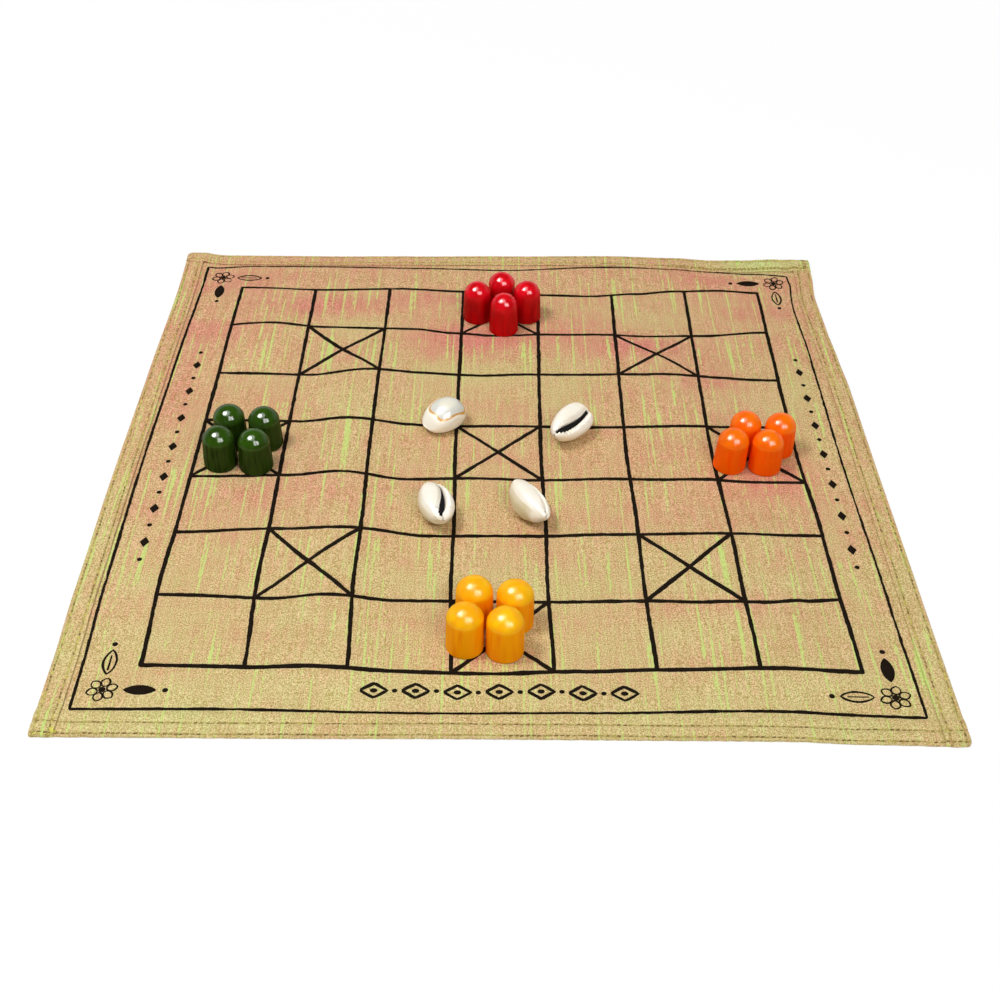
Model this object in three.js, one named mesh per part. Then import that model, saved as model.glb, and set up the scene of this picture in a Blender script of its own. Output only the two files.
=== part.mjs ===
// Ashta chemma board: a hemmed raw-silk playing cloth with four sets of turned pawns and four cowries.
// Millimetres. +X runs to the right, +Y away from the front edge, +Z up, and the cloth lies on z = 0.
import * as THREE from "three";

// The printed field that the pieces stand in. A border half a square wide runs round its squares.
const cellSize = 41;
const squaresAcross = 7;

// Playing cloth. The margins lie between the printed border and the cloth's edges.
const sideMargin = 15;
const endMargin = 16;
const clothThickness = 0.8;
const hemWidth = 10;
const seamGap = 0.05;
const frontRampLength = 4;
const clothStep = 16;

// Sewing thread, two rows along each hem
const threadWidth = 0.5;
const threadHeight = 0.35;
const threadEndInset = 1.2;
const threadRamp = 1;
const seamRows = [
  { row: "outer", inset: 1.9, frontInset: 1.2 },
  { row: "inner", inset: 7.8, frontInset: 6.8 },
];

// Broad waves left by the folds the cloth is stored in. Each dies out before it reaches a hem.
// Places are in cells from the centre, reaches and heights in millimetres.
const waveFade = 40;
const waves = [
  { x: -1.75, front: -4.05, back: 2.45, reachLeft: 27, reachRight: 29, height: 3.4 },
  { x: 2.0, front: 0.1, back: 2.7, reachLeft: 34, reachRight: 30, height: 2.6 },
  { x: 2.38, front: -1.3, back: 0.6, reachLeft: 45, reachRight: 17, height: 1.5 },
  { x: 2.7, front: -4.05, back: -0.8, reachLeft: 45, reachRight: 36, height: 3.0 },
  { x: -3.0, front: 1.35, back: 3.75, reachLeft: 36, reachRight: 28, height: 2.4 },
];

// Pawns: each set is hand turned, so the sets differ a little
const pawnGap = 0.6;
const pawnBaseRound = 0.9;
const pawnSides = 20;
const domeSteps = 5;
const restGap = 0.05;

// A set's centre is in cells, and its pawns' places in pawn spacings from that centre
const pawnSets = [
  {
    name: "red",
    colour: 0xa80f16,
    diameter: 15.5,
    taper: 0.6,
    height: 21.7,
    dome: 7.0,
    centre: [0.04, 2.845],
    places: [[-0.84, 0.04], [0.04, -0.68], [0.81, 0.1], [-0.03, 0.66]],
  },
  {
    name: "green",
    colour: 0x2a4412,
    diameter: 15.9,
    taper: 0.6,
    height: 20.5,
    dome: 5.7,
    centre: [-2.96, -0.13],
    places: [[-0.56, -0.42], [0.46, -0.54], [-0.41, 0.61], [0.61, 0.51]],
  },
  {
    name: "orange",
    colour: 0xee4c02,
    diameter: 15.3,
    taper: 0.45,
    height: 20.8,
    dome: 5.7,
    centre: [2.98, -0.095],
    places: [[-0.87, -0.41], [0.18, -0.43], [-0.36, 0.46], [0.69, 0.41]],
  },
  {
    name: "yellow",
    colour: 0xf0a008,
    diameter: 15.6,
    taper: 0.25,
    height: 22.4,
    dome: 5.7,
    centre: [-0.095, -3.0],
    places: [[-0.62, -0.41], [0.38, -0.54], [-0.4, 0.55], [0.63, 0.43]],
  },
];

// Cowries: length runs from the narrow front end to the broad rear end
const shellLength = 25;
const shellWidth = 17.5;
const shellHeight = 12.5;
const whorlBulge = 1.8;
const lipBulge = 0.8;
const slitWidth = 2.2;
const slitDepth = 2.2;
const slitOffset = -0.6; // from the middle towards the outer lip, at the ends
const slitBow = 3;
const shellRings = 13;

// Places in cells. Heading is where the broad end points, and tip is how far the mouth is turned up.
// Egg is how much broader the rear end is, and point is how far the front end draws out.
const shellPlaces = [
  { place: [-0.653, 0.47], heading: 43, tip: 8, long: 0.97, slim: 0.97, egg: 0, point: -0.1, skew: 0 },
  { place: [0.849, 0.262], heading: 51, tip: 210, long: 1.08, slim: 0.9, egg: 0.22, point: 0.3, skew: -0.6 },
  { place: [-0.688, -1.23], heading: 103, tip: 200, long: 1.04, slim: 0.9, egg: 0.12, point: 0.12, skew: 1.2 },
  { place: [0.33, -1.155], heading: 115, tip: 216, long: 1.12, slim: 0.86, egg: 0.2, point: 0.3, skew: 0 },
];

const silk = new THREE.MeshStandardMaterial({ color: 0xd2b083, roughness: 0.85, metalness: 0 });
const hemSilk = new THREE.MeshStandardMaterial({ color: 0xc9b07c, roughness: 0.85, metalness: 0 });
const thread = new THREE.MeshStandardMaterial({ color: 0x8a8a3c, roughness: 0.7, metalness: 0 });
const shell = new THREE.MeshStandardMaterial({ color: 0xf1ead8, roughness: 0.28, metalness: 0 });

const group = new THREE.Group();
group.name = "ashta_chemma_board";

function addMesh(name, geometry, material) {
  const mesh = new THREE.Mesh(geometry, material);
  mesh.name = name;
  group.add(mesh);
  return mesh;
}

// Evenly spaced values from one end to the other, no further apart than the given step
function stations(from, to, step) {
  const count = Math.ceil((to - from) / step);
  return Array.from({ length: count + 1 }, (_, i) => from + ((to - from) * i) / count);
}

// A closed solid from an indexed list of points and triangles
function solid(points, triangles) {
  const geometry = new THREE.BufferGeometry();
  geometry.setAttribute("position", new THREE.Float32BufferAttribute(points.flat(), 3));
  geometry.setIndex(triangles.flat());
  geometry.computeVertexNormals();
  return geometry;
}

// A sheet of even thickness over a net of x and y lines, with its underside at the given height
function sheet(xs, ys, underside, thickness) {
  const points = [];
  const triangles = [];
  for (const lift of [0, thickness]) {
    for (const y of ys) {
      for (const x of xs) {
        points.push([x, y, underside(x, y) + lift]);
      }
    }
  }
  const columns = xs.length;
  const rows = ys.length;
  const low = (i, j) => j * columns + i;
  const high = (i, j) => (rows + j) * columns + i;
  for (let j = 0; j + 1 < rows; j++) {
    for (let i = 0; i + 1 < columns; i++) {
      triangles.push([high(i, j), high(i + 1, j), high(i + 1, j + 1)]);
      triangles.push([high(i, j), high(i + 1, j + 1), high(i, j + 1)]);
      triangles.push([low(i, j), low(i + 1, j + 1), low(i + 1, j)]);
      triangles.push([low(i, j), low(i, j + 1), low(i + 1, j + 1)]);
    }
  }
  const wall = (a, b, c, d) => triangles.push([a, b, c], [a, c, d]);
  for (let i = 0; i + 1 < columns; i++) {
    const last = rows - 1;
    wall(low(i, 0), low(i + 1, 0), high(i + 1, 0), high(i, 0));
    wall(low(i + 1, last), low(i, last), high(i, last), high(i + 1, last));
  }
  for (let j = 0; j + 1 < rows; j++) {
    const last = columns - 1;
    wall(low(0, j + 1), low(0, j), high(0, j), high(0, j + 1));
    wall(low(last, j), low(last, j + 1), high(last, j + 1), high(last, j));
  }
  return solid(points, triangles);
}

// Shape of the cloth
const fieldSize = (squaresAcross + 1) * cellSize;
const edgeX = fieldSize / 2 + sideMargin;
const edgeY = fieldSize / 2 + endMargin;
const hemX = edgeX - hemWidth;
const hemY = edgeY - hemWidth;
const layer = clothThickness + seamGap;
const rampTop = -hemY + seamGap;
const rampFoot = rampTop + frontRampLength;

const ease = (t) => THREE.MathUtils.smoothstep(t, 0, 1);
const swell = (t) => (Math.abs(t) < 1 ? Math.cos((t * Math.PI) / 2) ** 2 : 0);

function waveHeight(x, y) {
  let height = 0;
  for (const wave of waves) {
    const offset = x - wave.x * cellSize;
    const reach = offset < 0 ? wave.reachLeft : wave.reachRight;
    const rise = ease((y - wave.front * cellSize) / waveFade);
    const fall = ease((wave.back * cellSize - y) / waveFade);
    height += wave.height * swell(offset / reach) * rise * fall;
  }
  return height;
}

// The front hem is turned under, so the cloth climbs one layer to lie over it
const frontLift = (y) => layer * THREE.MathUtils.clamp((rampFoot - y) / frontRampLength, 0, 1);

function inField(x, y) {
  return Math.abs(x) < hemX && y > rampFoot && y < hemY;
}

const clothUnderside = (x, y) => frontLift(y) + (inField(x, y) ? waveHeight(x, y) : 0);

// Ground cloth and its four hems
const fieldX = stations(-hemX, hemX, clothStep);
const fieldY = stations(rampFoot, hemY, clothStep);
const clothX = [-edgeX, ...fieldX, edgeX];
const clothY = [-edgeY, rampTop, ...fieldY, edgeY];
addMesh("ground_cloth", sheet(clothX, clothY, clothUnderside, clothThickness), silk);

const onCloth = (x, y) => clothUnderside(x, y) + layer;
const sideHemY = [-edgeY, rampTop, rampFoot, hemY - seamGap];
addMesh("left_hem", sheet([-edgeX, -hemX], sideHemY, onCloth, clothThickness), hemSilk);
addMesh("right_hem", sheet([hemX, edgeX], sideHemY, onCloth, clothThickness), hemSilk);
addMesh("back_hem", sheet([-edgeX, edgeX], [hemY, edgeY], onCloth, clothThickness), hemSilk);
addMesh("front_hem", sheet([-edgeX, edgeX], [-edgeY, -hemY], () => 0, clothThickness), hemSilk);

// Seam threads. Front rows cross the side hems, so they step up one layer near each end.
const sideThreadY = [-hemY + threadEndInset, rampFoot, hemY - threadEndInset];
const stepFoot = hemX - seamGap - threadRamp;
const stepTop = hemX - seamGap;
const rowEnd = edgeX - threadEndInset;
const frontThreadX = [-rowEnd, -stepTop, -stepFoot, stepFoot, stepTop, rowEnd];

const overSideHem = (x) => layer * THREE.MathUtils.clamp((Math.abs(x) - stepFoot) / threadRamp, 0, 1);
const onHem = (x, y) => onCloth(x, y) + layer;
const onFront = (x, y) => onCloth(x, y) + overSideHem(x);
const across = (centre) => [centre - threadWidth / 2, centre + threadWidth / 2];

for (const { row, inset, frontInset } of seamRows) {
  const x = edgeX - inset;
  const y = edgeY - inset;
  const frontY = frontInset - edgeY;
  addMesh(`left_${row}_thread`, sheet(across(-x), sideThreadY, onHem, threadHeight), thread);
  addMesh(`right_${row}_thread`, sheet(across(x), sideThreadY, onHem, threadHeight), thread);
  addMesh(`front_${row}_thread`, sheet(frontThreadX, across(frontY), onFront, threadHeight), thread);
  addMesh(`back_${row}_thread`, sheet([-rowEnd, rowEnd], across(y), onHem, threadHeight), thread);
}

// Height of the cloth's upper face, read off the same net of triangles that the cloth is made of
function clothTop(x, y) {
  const i = THREE.MathUtils.clamp(clothX.findLastIndex((v) => v <= x), 0, clothX.length - 2);
  const j = THREE.MathUtils.clamp(clothY.findLastIndex((v) => v <= y), 0, clothY.length - 2);
  const s = (x - clothX[i]) / (clothX[i + 1] - clothX[i]);
  const t = (y - clothY[j]) / (clothY[j + 1] - clothY[j]);
  const at = (a, b) => clothUnderside(clothX[i + a], clothY[j + b]) + clothThickness;
  const lower = at(0, 0) + s * (at(1, 0) - at(0, 0)) + t * (at(1, 1) - at(1, 0));
  const upper = at(0, 0) + t * (at(0, 1) - at(0, 0)) + s * (at(1, 1) - at(0, 1));
  return s > t ? lower : upper;
}

// Points spread over a round foot, from its middle to its rim
function footPoints(radius) {
  const points = [new THREE.Vector3()];
  for (const share of [0.25, 0.5, 0.75, 1]) {
    for (let turn = 0; turn < 24; turn++) {
      const angle = (turn / 24) * 2 * Math.PI;
      points.push(new THREE.Vector3(Math.cos(angle), Math.sin(angle), 0).multiplyScalar(radius * share));
    }
  }
  return points;
}

// Stands a mesh on the cloth at a place, tipped with the slope under its foot and clear of every crest
function standOnCloth(mesh, x, y, radius) {
  const slopeX = (clothTop(x + radius, y) - clothTop(x - radius, y)) / (2 * radius);
  const slopeY = (clothTop(x, y + radius) - clothTop(x, y - radius)) / (2 * radius);
  const upright = new THREE.Vector3(-slopeX, -slopeY, 1).normalize();
  mesh.quaternion.setFromUnitVectors(new THREE.Vector3(0, 0, 1), upright);
  let seat = -Infinity;
  for (const point of footPoints(radius)) {
    point.applyQuaternion(mesh.quaternion);
    seat = Math.max(seat, clothTop(x + point.x, y + point.y) - point.z);
  }
  mesh.position.set(x, y, seat + restGap);
}

// Pawns: a slightly tapered round body topped by a cap of a sphere
function pawnGeometry({ diameter, taper, height, dome }) {
  const foot = diameter / 2;
  const shoulder = foot - taper;
  const profile = [
    new THREE.Vector2(0, 0),
    new THREE.Vector2(foot - pawnBaseRound, 0),
    new THREE.Vector2(foot - pawnBaseRound * 0.3, pawnBaseRound * 0.3),
    new THREE.Vector2(foot, pawnBaseRound),
  ];
  const domeRadius = (shoulder ** 2 + dome ** 2) / (2 * dome);
  const domeAngle = Math.asin(shoulder / domeRadius);
  for (let i = 0; i < domeSteps; i++) {
    const angle = domeAngle * (1 - i / domeSteps);
    const drop = domeRadius * (1 - Math.cos(angle));
    profile.push(new THREE.Vector2(domeRadius * Math.sin(angle), height - drop));
  }
  profile.push(new THREE.Vector2(0, height));
  return new THREE.LatheGeometry(profile, pawnSides).rotateX(Math.PI / 2);
}

for (const set of pawnSets) {
  const finish = new THREE.MeshStandardMaterial({ color: set.colour, roughness: 0.22, metalness: 0 });
  const spacing = set.diameter + pawnGap;
  set.places.forEach(([across, along], i) => {
    const x = set.centre[0] * cellSize + across * spacing;
    const y = set.centre[1] * cellSize + along * spacing;
    const pawn = addMesh(`${set.name}_pawn_${i + 1}`, pawnGeometry(set), finish);
    standOnCloth(pawn, x, y, set.diameter / 2);
  });
}

// Cowries: an egg-shaped back over a nearly flat base that the toothed mouth runs along
function cowrieGeometry({ long, slim, egg, point, skew }) {
  const endAt = (shellLength * long) / 2;
  const points = [[-endAt, 0, shellHeight * 0.2]];
  const back = 9;
  const base = 7;
  const around = back + base;
  for (let ring = 1; ring < shellRings; ring++) {
    const u = -Math.cos((ring / shellRings) * Math.PI);
    const round = Math.sqrt(1 - u * u);
    const half = ((shellWidth * slim) / 2) * round ** (1 - point * u) * (1 + egg * u);
    const tall = shellHeight * round ** 1.1 * (1 + 0.12 * u) * 0.98;
    const rise = shellHeight * 0.2 * (1 - round);
    for (let i = 0; i < back; i++) {
      const angle = (i / (back - 1)) * Math.PI;
      const z = rise + shellHeight * 0.12 * round + (tall - shellHeight * 0.12 * round) * Math.sin(angle);
      points.push([u * endAt, half * Math.cos(angle), z]);
    }
    const slitMiddle = slitOffset + slitBow * (1 - ((u - 0.3) / 1.15) ** 2) + skew * u;
    const slitAt = THREE.MathUtils.clamp(slitMiddle / half, -0.1, 0.5);
    const slitHalf = Math.min(slitWidth / 2 / half, 0.18);
    const lipEdge = slitAt + slitHalf;
    for (const share of [-0.72, -0.32, slitAt - slitHalf, slitAt, lipEdge, (lipEdge + 0.86) / 2, 0.86]) {
      const bulge = (share < slitAt ? whorlBulge : lipBulge) * (1 - share * share) * round;
      const groove = share === slitAt ? slitDepth * round : 0;
      const z = rise + shellHeight * 0.12 * round * Math.abs(share) ** 2 - bulge + groove;
      points.push([u * endAt, half * share, z]);
    }
  }
  points.push([endAt, 0, shellHeight * 0.2]);
  const last = points.length - 1;
  const at = (ring, i) => 1 + (ring - 1) * around + (i % around);
  const triangles = [];
  for (let i = 0; i < around; i++) {
    triangles.push([0, at(1, i + 1), at(1, i)]);
    triangles.push([last, at(shellRings - 1, i), at(shellRings - 1, i + 1)]);
    for (let ring = 1; ring + 1 < shellRings; ring++) {
      triangles.push([at(ring, i), at(ring + 1, i + 1), at(ring + 1, i)]);
      triangles.push([at(ring, i), at(ring, i + 1), at(ring + 1, i + 1)]);
    }
  }
  return solid(points, triangles);
}

shellPlaces.forEach(({ place, heading, tip, ...form }, i) => {
  const mesh = addMesh(`cowrie_${i + 1}`, cowrieGeometry(form), shell);
  const toRadians = THREE.MathUtils.degToRad;
  mesh.rotation.set(toRadians(tip), 0, toRadians(heading), "ZYX");
  mesh.updateMatrix();
  const turned = mesh.geometry.clone().applyMatrix4(mesh.matrix);
  turned.computeBoundingBox();
  const middle = turned.boundingBox.getCenter(new THREE.Vector3());
  const x = place[0] * cellSize;
  const y = place[1] * cellSize;
  const heights = footPoints((shellLength * form.long) / 2).map((point) => clothTop(x + point.x, y + point.y));
  const seat = Math.max(...heights) + restGap;
  mesh.position.set(x - middle.x, y - middle.y, seat - turned.boundingBox.min.z);
});

export default group;
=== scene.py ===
# Ashta chemma board: a hemmed silk playing cloth with turned pawns and cowries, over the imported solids
import math

import bpy
import numpy as np
from mathutils import Matrix, Vector


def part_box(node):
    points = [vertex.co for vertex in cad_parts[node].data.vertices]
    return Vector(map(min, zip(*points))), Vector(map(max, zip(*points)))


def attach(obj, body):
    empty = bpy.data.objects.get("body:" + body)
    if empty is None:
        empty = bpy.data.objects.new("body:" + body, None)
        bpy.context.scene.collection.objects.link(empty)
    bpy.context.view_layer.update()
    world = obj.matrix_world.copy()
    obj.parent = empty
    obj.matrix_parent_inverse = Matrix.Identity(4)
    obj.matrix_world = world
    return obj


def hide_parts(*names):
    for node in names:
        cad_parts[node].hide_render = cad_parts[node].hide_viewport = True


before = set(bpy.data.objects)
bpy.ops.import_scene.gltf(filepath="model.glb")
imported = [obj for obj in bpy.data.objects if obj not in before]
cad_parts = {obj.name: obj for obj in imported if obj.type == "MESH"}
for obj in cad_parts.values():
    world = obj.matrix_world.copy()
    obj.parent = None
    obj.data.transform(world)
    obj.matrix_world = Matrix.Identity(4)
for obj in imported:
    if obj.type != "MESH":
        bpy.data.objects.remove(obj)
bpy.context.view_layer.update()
mm = 0.001
print("frame loaded:", len(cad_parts), "nodes")


def srgb(red, green, blue):
    def linear(value):
        share = value / 255
        return share / 12.92 if share <= 0.04045 else ((share + 0.055) / 1.055) ** 2.4

    return (linear(red), linear(green), linear(blue), 1.0)


# Shader helpers: sums on a Wire add Math nodes, every other node comes from Paint.node
class Wire:
    def __init__(self, paint, socket):
        self.paint = paint
        self.socket = socket

    def __add__(self, other):
        return self.paint.sum("ADD", self, other)

    def __radd__(self, other):
        return self.paint.sum("ADD", other, self)

    def __sub__(self, other):
        return self.paint.sum("SUBTRACT", self, other)

    def __rsub__(self, other):
        return self.paint.sum("SUBTRACT", other, self)

    def __mul__(self, other):
        return self.paint.sum("MULTIPLY", self, other)

    def __rmul__(self, other):
        return self.paint.sum("MULTIPLY", other, self)


class Paint:
    def __init__(self, tree):
        self.tree = tree

    def feed(self, socket, value):
        if isinstance(value, Wire):
            self.tree.links.new(value.socket, socket)
        else:
            socket.default_value = value

    def node(self, kind, settings=None, inputs=None, output=0):
        new = self.tree.nodes.new("ShaderNode" + kind)
        for key, value in (settings or {}).items():
            setattr(new, key, value)
        for key, value in (inputs or {}).items():
            self.feed(new.inputs[key], value)
        return Wire(self, new.outputs[output])

    def sum(self, operation, first, second=0.0):
        return self.node("Math", {"operation": operation}, {0: first, 1: second})

    def mix(self, share, first, second, how="MIX"):
        return self.node("Mix", {"data_type": "RGBA", "blend_type": how}, {0: share, 6: first, 7: second}, 2)

    def stretch(self, vector, by):
        return self.node("VectorMath", {"operation": "MULTIPLY"}, {0: vector, 1: by})

    def shift(self, vector, by):
        return self.node("VectorMath", {"operation": "ADD"}, {0: vector, 1: by})

    def noise(self, vector, by, detail=2.0, rough=0.5):
        return self.node("TexNoise", {}, {"Vector": self.stretch(vector, by), "Scale": 1.0,
                                          "Detail": detail, "Roughness": rough})

    def step(self, value, low, high):
        return self.node("MapRange", {"interpolation_type": "SMOOTHSTEP"},
                         {"Value": value, "From Min": low, "From Max": high})

    def attribute(self, name):
        return self.node("Attribute", {"attribute_name": name}, {}, 2)

    def parts(self, vector):
        outputs = self.node("SeparateXYZ", {}, {0: vector}).socket.node.outputs
        return [Wire(self, output) for output in outputs]

    def millimetres(self):
        return self.stretch(self.node("TexCoord", {}, {}, 3), (1000.0, 1000.0, 1000.0))

    def finish(self, shader, colour, rough, relief, strength, depth):
        bump = self.node("Bump", {}, {"Strength": strength, "Distance": depth * mm, "Height": relief})
        for name, value in (("Base Color", colour), ("Roughness", rough), ("Normal", bump)):
            self.feed(shader.inputs[name], value)


def surface(name, constants):
    material = bpy.data.materials.new(name)
    material.use_nodes = True
    paint = Paint(material.node_tree)
    shader = material.node_tree.nodes["Principled BSDF"]
    for socket, value in constants.items():
        shader.inputs[socket].default_value = value
    return material, paint, shader


# Camera, at the photograph's place
camera = {
    "place": (-5.98, -519.77, 404.73),
    "pitch": 0.8741948,
    "roll": -0.0100247,
    "yaw": 0.0113553,
    "lens": 49.568,
    "sensor": 36.0,
    "nearest": 0.01,
}


def addCamera():
    data = bpy.data.cameras.new("camera")
    data.lens = camera["lens"]
    data.sensor_width = camera["sensor"]
    data.clip_start = camera["nearest"]
    view = bpy.data.objects.new("camera", data)
    bpy.context.scene.collection.objects.link(view)
    turn = Matrix.Rotation(camera["pitch"], 4, "X")
    turn = turn @ Matrix.Rotation(camera["roll"], 4, "Y") @ Matrix.Rotation(camera["yaw"], 4, "Z")
    view.matrix_world = Matrix.Translation(Vector(camera["place"]) * mm) @ turn
    bpy.context.scene.camera = view


addCamera()


# Pieces: a mesh in the row frame, riding on a body
def makePiece(name, points, faces, material, body, smooth=True, placed=None):
    mesh = bpy.data.meshes.new(name)
    places = [tuple(point) for point in np.asarray(points, float) * mm]
    mesh.from_pydata(places, [], [tuple(map(int, face)) for face in faces])
    mesh.validate()
    if smooth:
        mesh.shade_smooth()
    else:
        mesh.shade_flat()
    mesh.materials.append(material)
    piece = bpy.data.objects.new(name, mesh)
    bpy.context.scene.collection.objects.link(piece)
    if placed is not None:
        piece.matrix_world = placed
    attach(piece, body)
    return piece


def addAttribute(piece, name, values):
    column = piece.data.attributes.new(name, "FLOAT", "POINT")
    column.data.foreach_set("value", np.asarray(values, np.float32).ravel())


def tubeFaces(rings, sides, first=0):
    # faces between rings of points
    faces = []
    for r in range(rings - 1):
        low = first + r * sides
        for s in range(sides):
            n = (s + 1) % sides
            faces.append((low + s, low + n, low + sides + n, low + sides + s))
    return faces


def closedNet(rings, sides):
    # faces of rings of points between a first and a last point
    last = rings * sides + 1
    faces = tubeFaces(rings, sides, 1)
    for s in range(sides):
        n = (s + 1) % sides
        faces.append((0, 1 + n, 1 + s))
        faces.append((last - sides + s, last - sides + n, last))
    return faces


# Cloth, in millimetres: flat sizes, then the shape it lies in
cloth = {
    "cell": 41.0,
    "edgeX": 179.0,
    "edgeY": 180.0,
    "thick": 0.8,
    "seamGap": 0.05,
    "hem": 10.0,
    "ramp": 4.5,
    "net": 2.5,
    "hemNet": 1.1,
    "underNet": (4.0, 2.5),
    # finer lines run this far past the front hem, and the side hems end this far past the back one
    "fineReach": 6.0,
    "sideOverlap": 1.2,
    "waveFade": 40.0,
    # x, front and back in cells, then reach left, reach right and height
    "waves": [
        (-1.75, -4.05, 2.45, 27.0, 29.0, 3.4),
        (2.0, 0.1, 2.7, 34.0, 30.0, 2.6),
        (2.38, -1.3, 0.6, 45.0, 17.0, 1.5),
        (2.7, -4.05, -0.8, 45.0, 36.0, 3.0),
        (-3.0, 1.35, 3.75, 36.0, 28.0, 2.4),
    ],
    # the back edge lifts off the table here and there
    "backLift": [(-179, 1.6), (-170, 1.6), (-158, 0.2), (-100, 0.4), (-50, 1.1), (0, 1.9), (65, 2.9),
                 (100, 2.2), (122, 1.0), (140, 1.3), (157, 2.2), (179, 1.9)],
    "backLiftFrom": 138.0,
    "backLiftFade": 40.0,
    # how far each edge draws in
    "frontDraw": [(-179, 1.2), (-100, 1.4), (0, 2.2), (110, 2.4), (140, 1.2), (179, 0.6)],
    "backDraw": [(-179, 0.8), (179, 0.8)],
    "leftDraw": [(-180, 1.1), (-140, 1.0), (-100, 0.1), (-30, -0.5), (70, -0.1), (130, 0.6), (180, 0.5)],
    "rightDraw": [(-180, -0.5), (-100, 0), (0, 0.5), (55, 0.5), (80, 1.4), (110, 2.4), (140, 2.9),
                  (165, 1.2), (180, 0.7)],
    "drawFade": 40.0,
    "corners": [(-1, -1, 1.2), (1, -1, 2.6), (-1, 1, 4.0), (1, 1, 1.4)],
    "ripple": 0.09,
    "calmFade": 25.0,
    "seamRows": {"left": (1.9, 7.8), "right": (1.9, 7.8), "back": (1.9, 7.8), "front": (1.2, 6.8)},
    "stitchDip": 0.26,
    "pucker": 0.12,
    "frontSeamReach": 12.0,
    "frontSeamFade": 3.0,
    # a hem puffs up between its seams
    "puff": 0.16,
    "puffFade": 1.5,
    # the cloth lies close under a pawn's foot and flat under a shell
    "footSink": 0.04,
    "footMargin": 0.5,
    "footFade": 6.0,
    "shellFlat": 10.0,
    "shellFade": 8.0,
    # how far the side hems turn down at the front, in radians
    "sideTurn": 2.4,
    # the back hem climbs over the side hems
    "backStep": 0.8,
    "backStepFade": 3.0,
    "backStepRise": 2.0,
    # the back hem is wider towards its right end: start, full and share
    "backGrow": (30.0, 150.0, 0.34),
}

half = cloth["thick"] / 2
rim = (0, 0.05, 0.16, half)  # lines that round off a cut edge
layer = cloth["thick"] + cloth["seamGap"]
fold = layer / 2  # from the middle of a turned edge to the middle of its upper layer
hemX = cloth["edgeX"] - cloth["hem"]
hemY = cloth["edgeY"] - cloth["hem"]
turnX = cloth["edgeX"] - fold - half
turnY = cloth["edgeY"] - fold - half
turnLength = math.pi * fold


def ease(t):
    t = np.clip(t, 0, 1)
    return t * t * (3 - 2 * t)


def swell(t):
    return np.where(np.abs(t) < 1, np.cos(np.clip(t, -1, 1) * math.pi / 2) ** 2, 0)


def curve(stops, at):
    # smooth line through a few settings
    places = np.array([s[0] for s in stops], float)
    values = np.array([s[1] for s in stops], float)
    at = np.clip(at, places[0], places[-1])
    i = np.clip(np.searchsorted(places, at) - 1, 0, len(places) - 2)
    t = ease((at - places[i]) / (places[i + 1] - places[i]))
    return values[i] + (values[i + 1] - values[i]) * t


def footing(node):
    # foot, axis, radius and height of a pawn, from its solid
    points = np.array([v.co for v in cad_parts[node].data.vertices]) / mm
    points = np.unique(points.round(3), axis=0)
    centre = points.mean(0)
    spread, axes = np.linalg.eigh(np.cov((points - centre).T))
    odd = 2 if spread[2] - spread[1] > spread[1] - spread[0] else 0
    axis = axes[:, odd] * np.sign(axes[2, odd])
    along = (points - centre) @ axis
    reach = np.linalg.norm(points - centre - along[:, None] * axis, axis=1).max()
    return centre + axis * along.min(), axis, reach, along.max() - along.min()


colours = ("red", "green", "orange", "yellow")
pawnNames = [f"{colour}_pawn_{i}" for colour in colours for i in (1, 2, 3, 4)]
footings = {name: footing(name) for name in pawnNames}
shellNames = [f"cowrie_{i}" for i in (1, 2, 3, 4)]
shellBoxes = {name: [np.array(corner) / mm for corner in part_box(name)] for name in shellNames}


def ripples(x, y):
    one = np.sin(x / 9.1 + 0.7 * np.sin(y / 23.0)) * np.sin(y / 12.7 + 1.3)
    two = np.sin((x + 1.7 * y) / 31.0 + 0.4) * np.sin((1.3 * x - y) / 19.0 + 2.0)
    return cloth["ripple"] * (2.2 + one + 1.2 * two)


def seamShade(side, inset, along):
    # painted shade: how deep a point lies in the furrow that a seam leaves, and so how much darker the silk
    # is painted there
    shade = 0
    for row in cloth["seamRows"][side]:
        shade = shade + np.exp(-(((inset - row) / 0.75) ** 2)) * (0.8 + 0.2 * np.sin(along * 2.3 + row))
    return shade


def seamDips(side, inset, along):
    # stitches draw the layers down and leave small puckers beside them
    dip = 0
    for row in cloth["seamRows"][side]:
        near = np.exp(-(((inset - row) / 1.0) ** 2))
        wide = np.exp(-(((inset - row) / 2.6) ** 2))
        dip = dip - cloth["stitchDip"] * near
        dip = dip + cloth["pucker"] * wide * np.sin(along / 1.15 + 2.2 * np.sin(along / 7.3) + row)
    return dip


def frontClimb(y):
    foot = -hemY + cloth["seamGap"] + cloth["ramp"]
    return layer * ease((foot - y) / cloth["ramp"])


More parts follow.
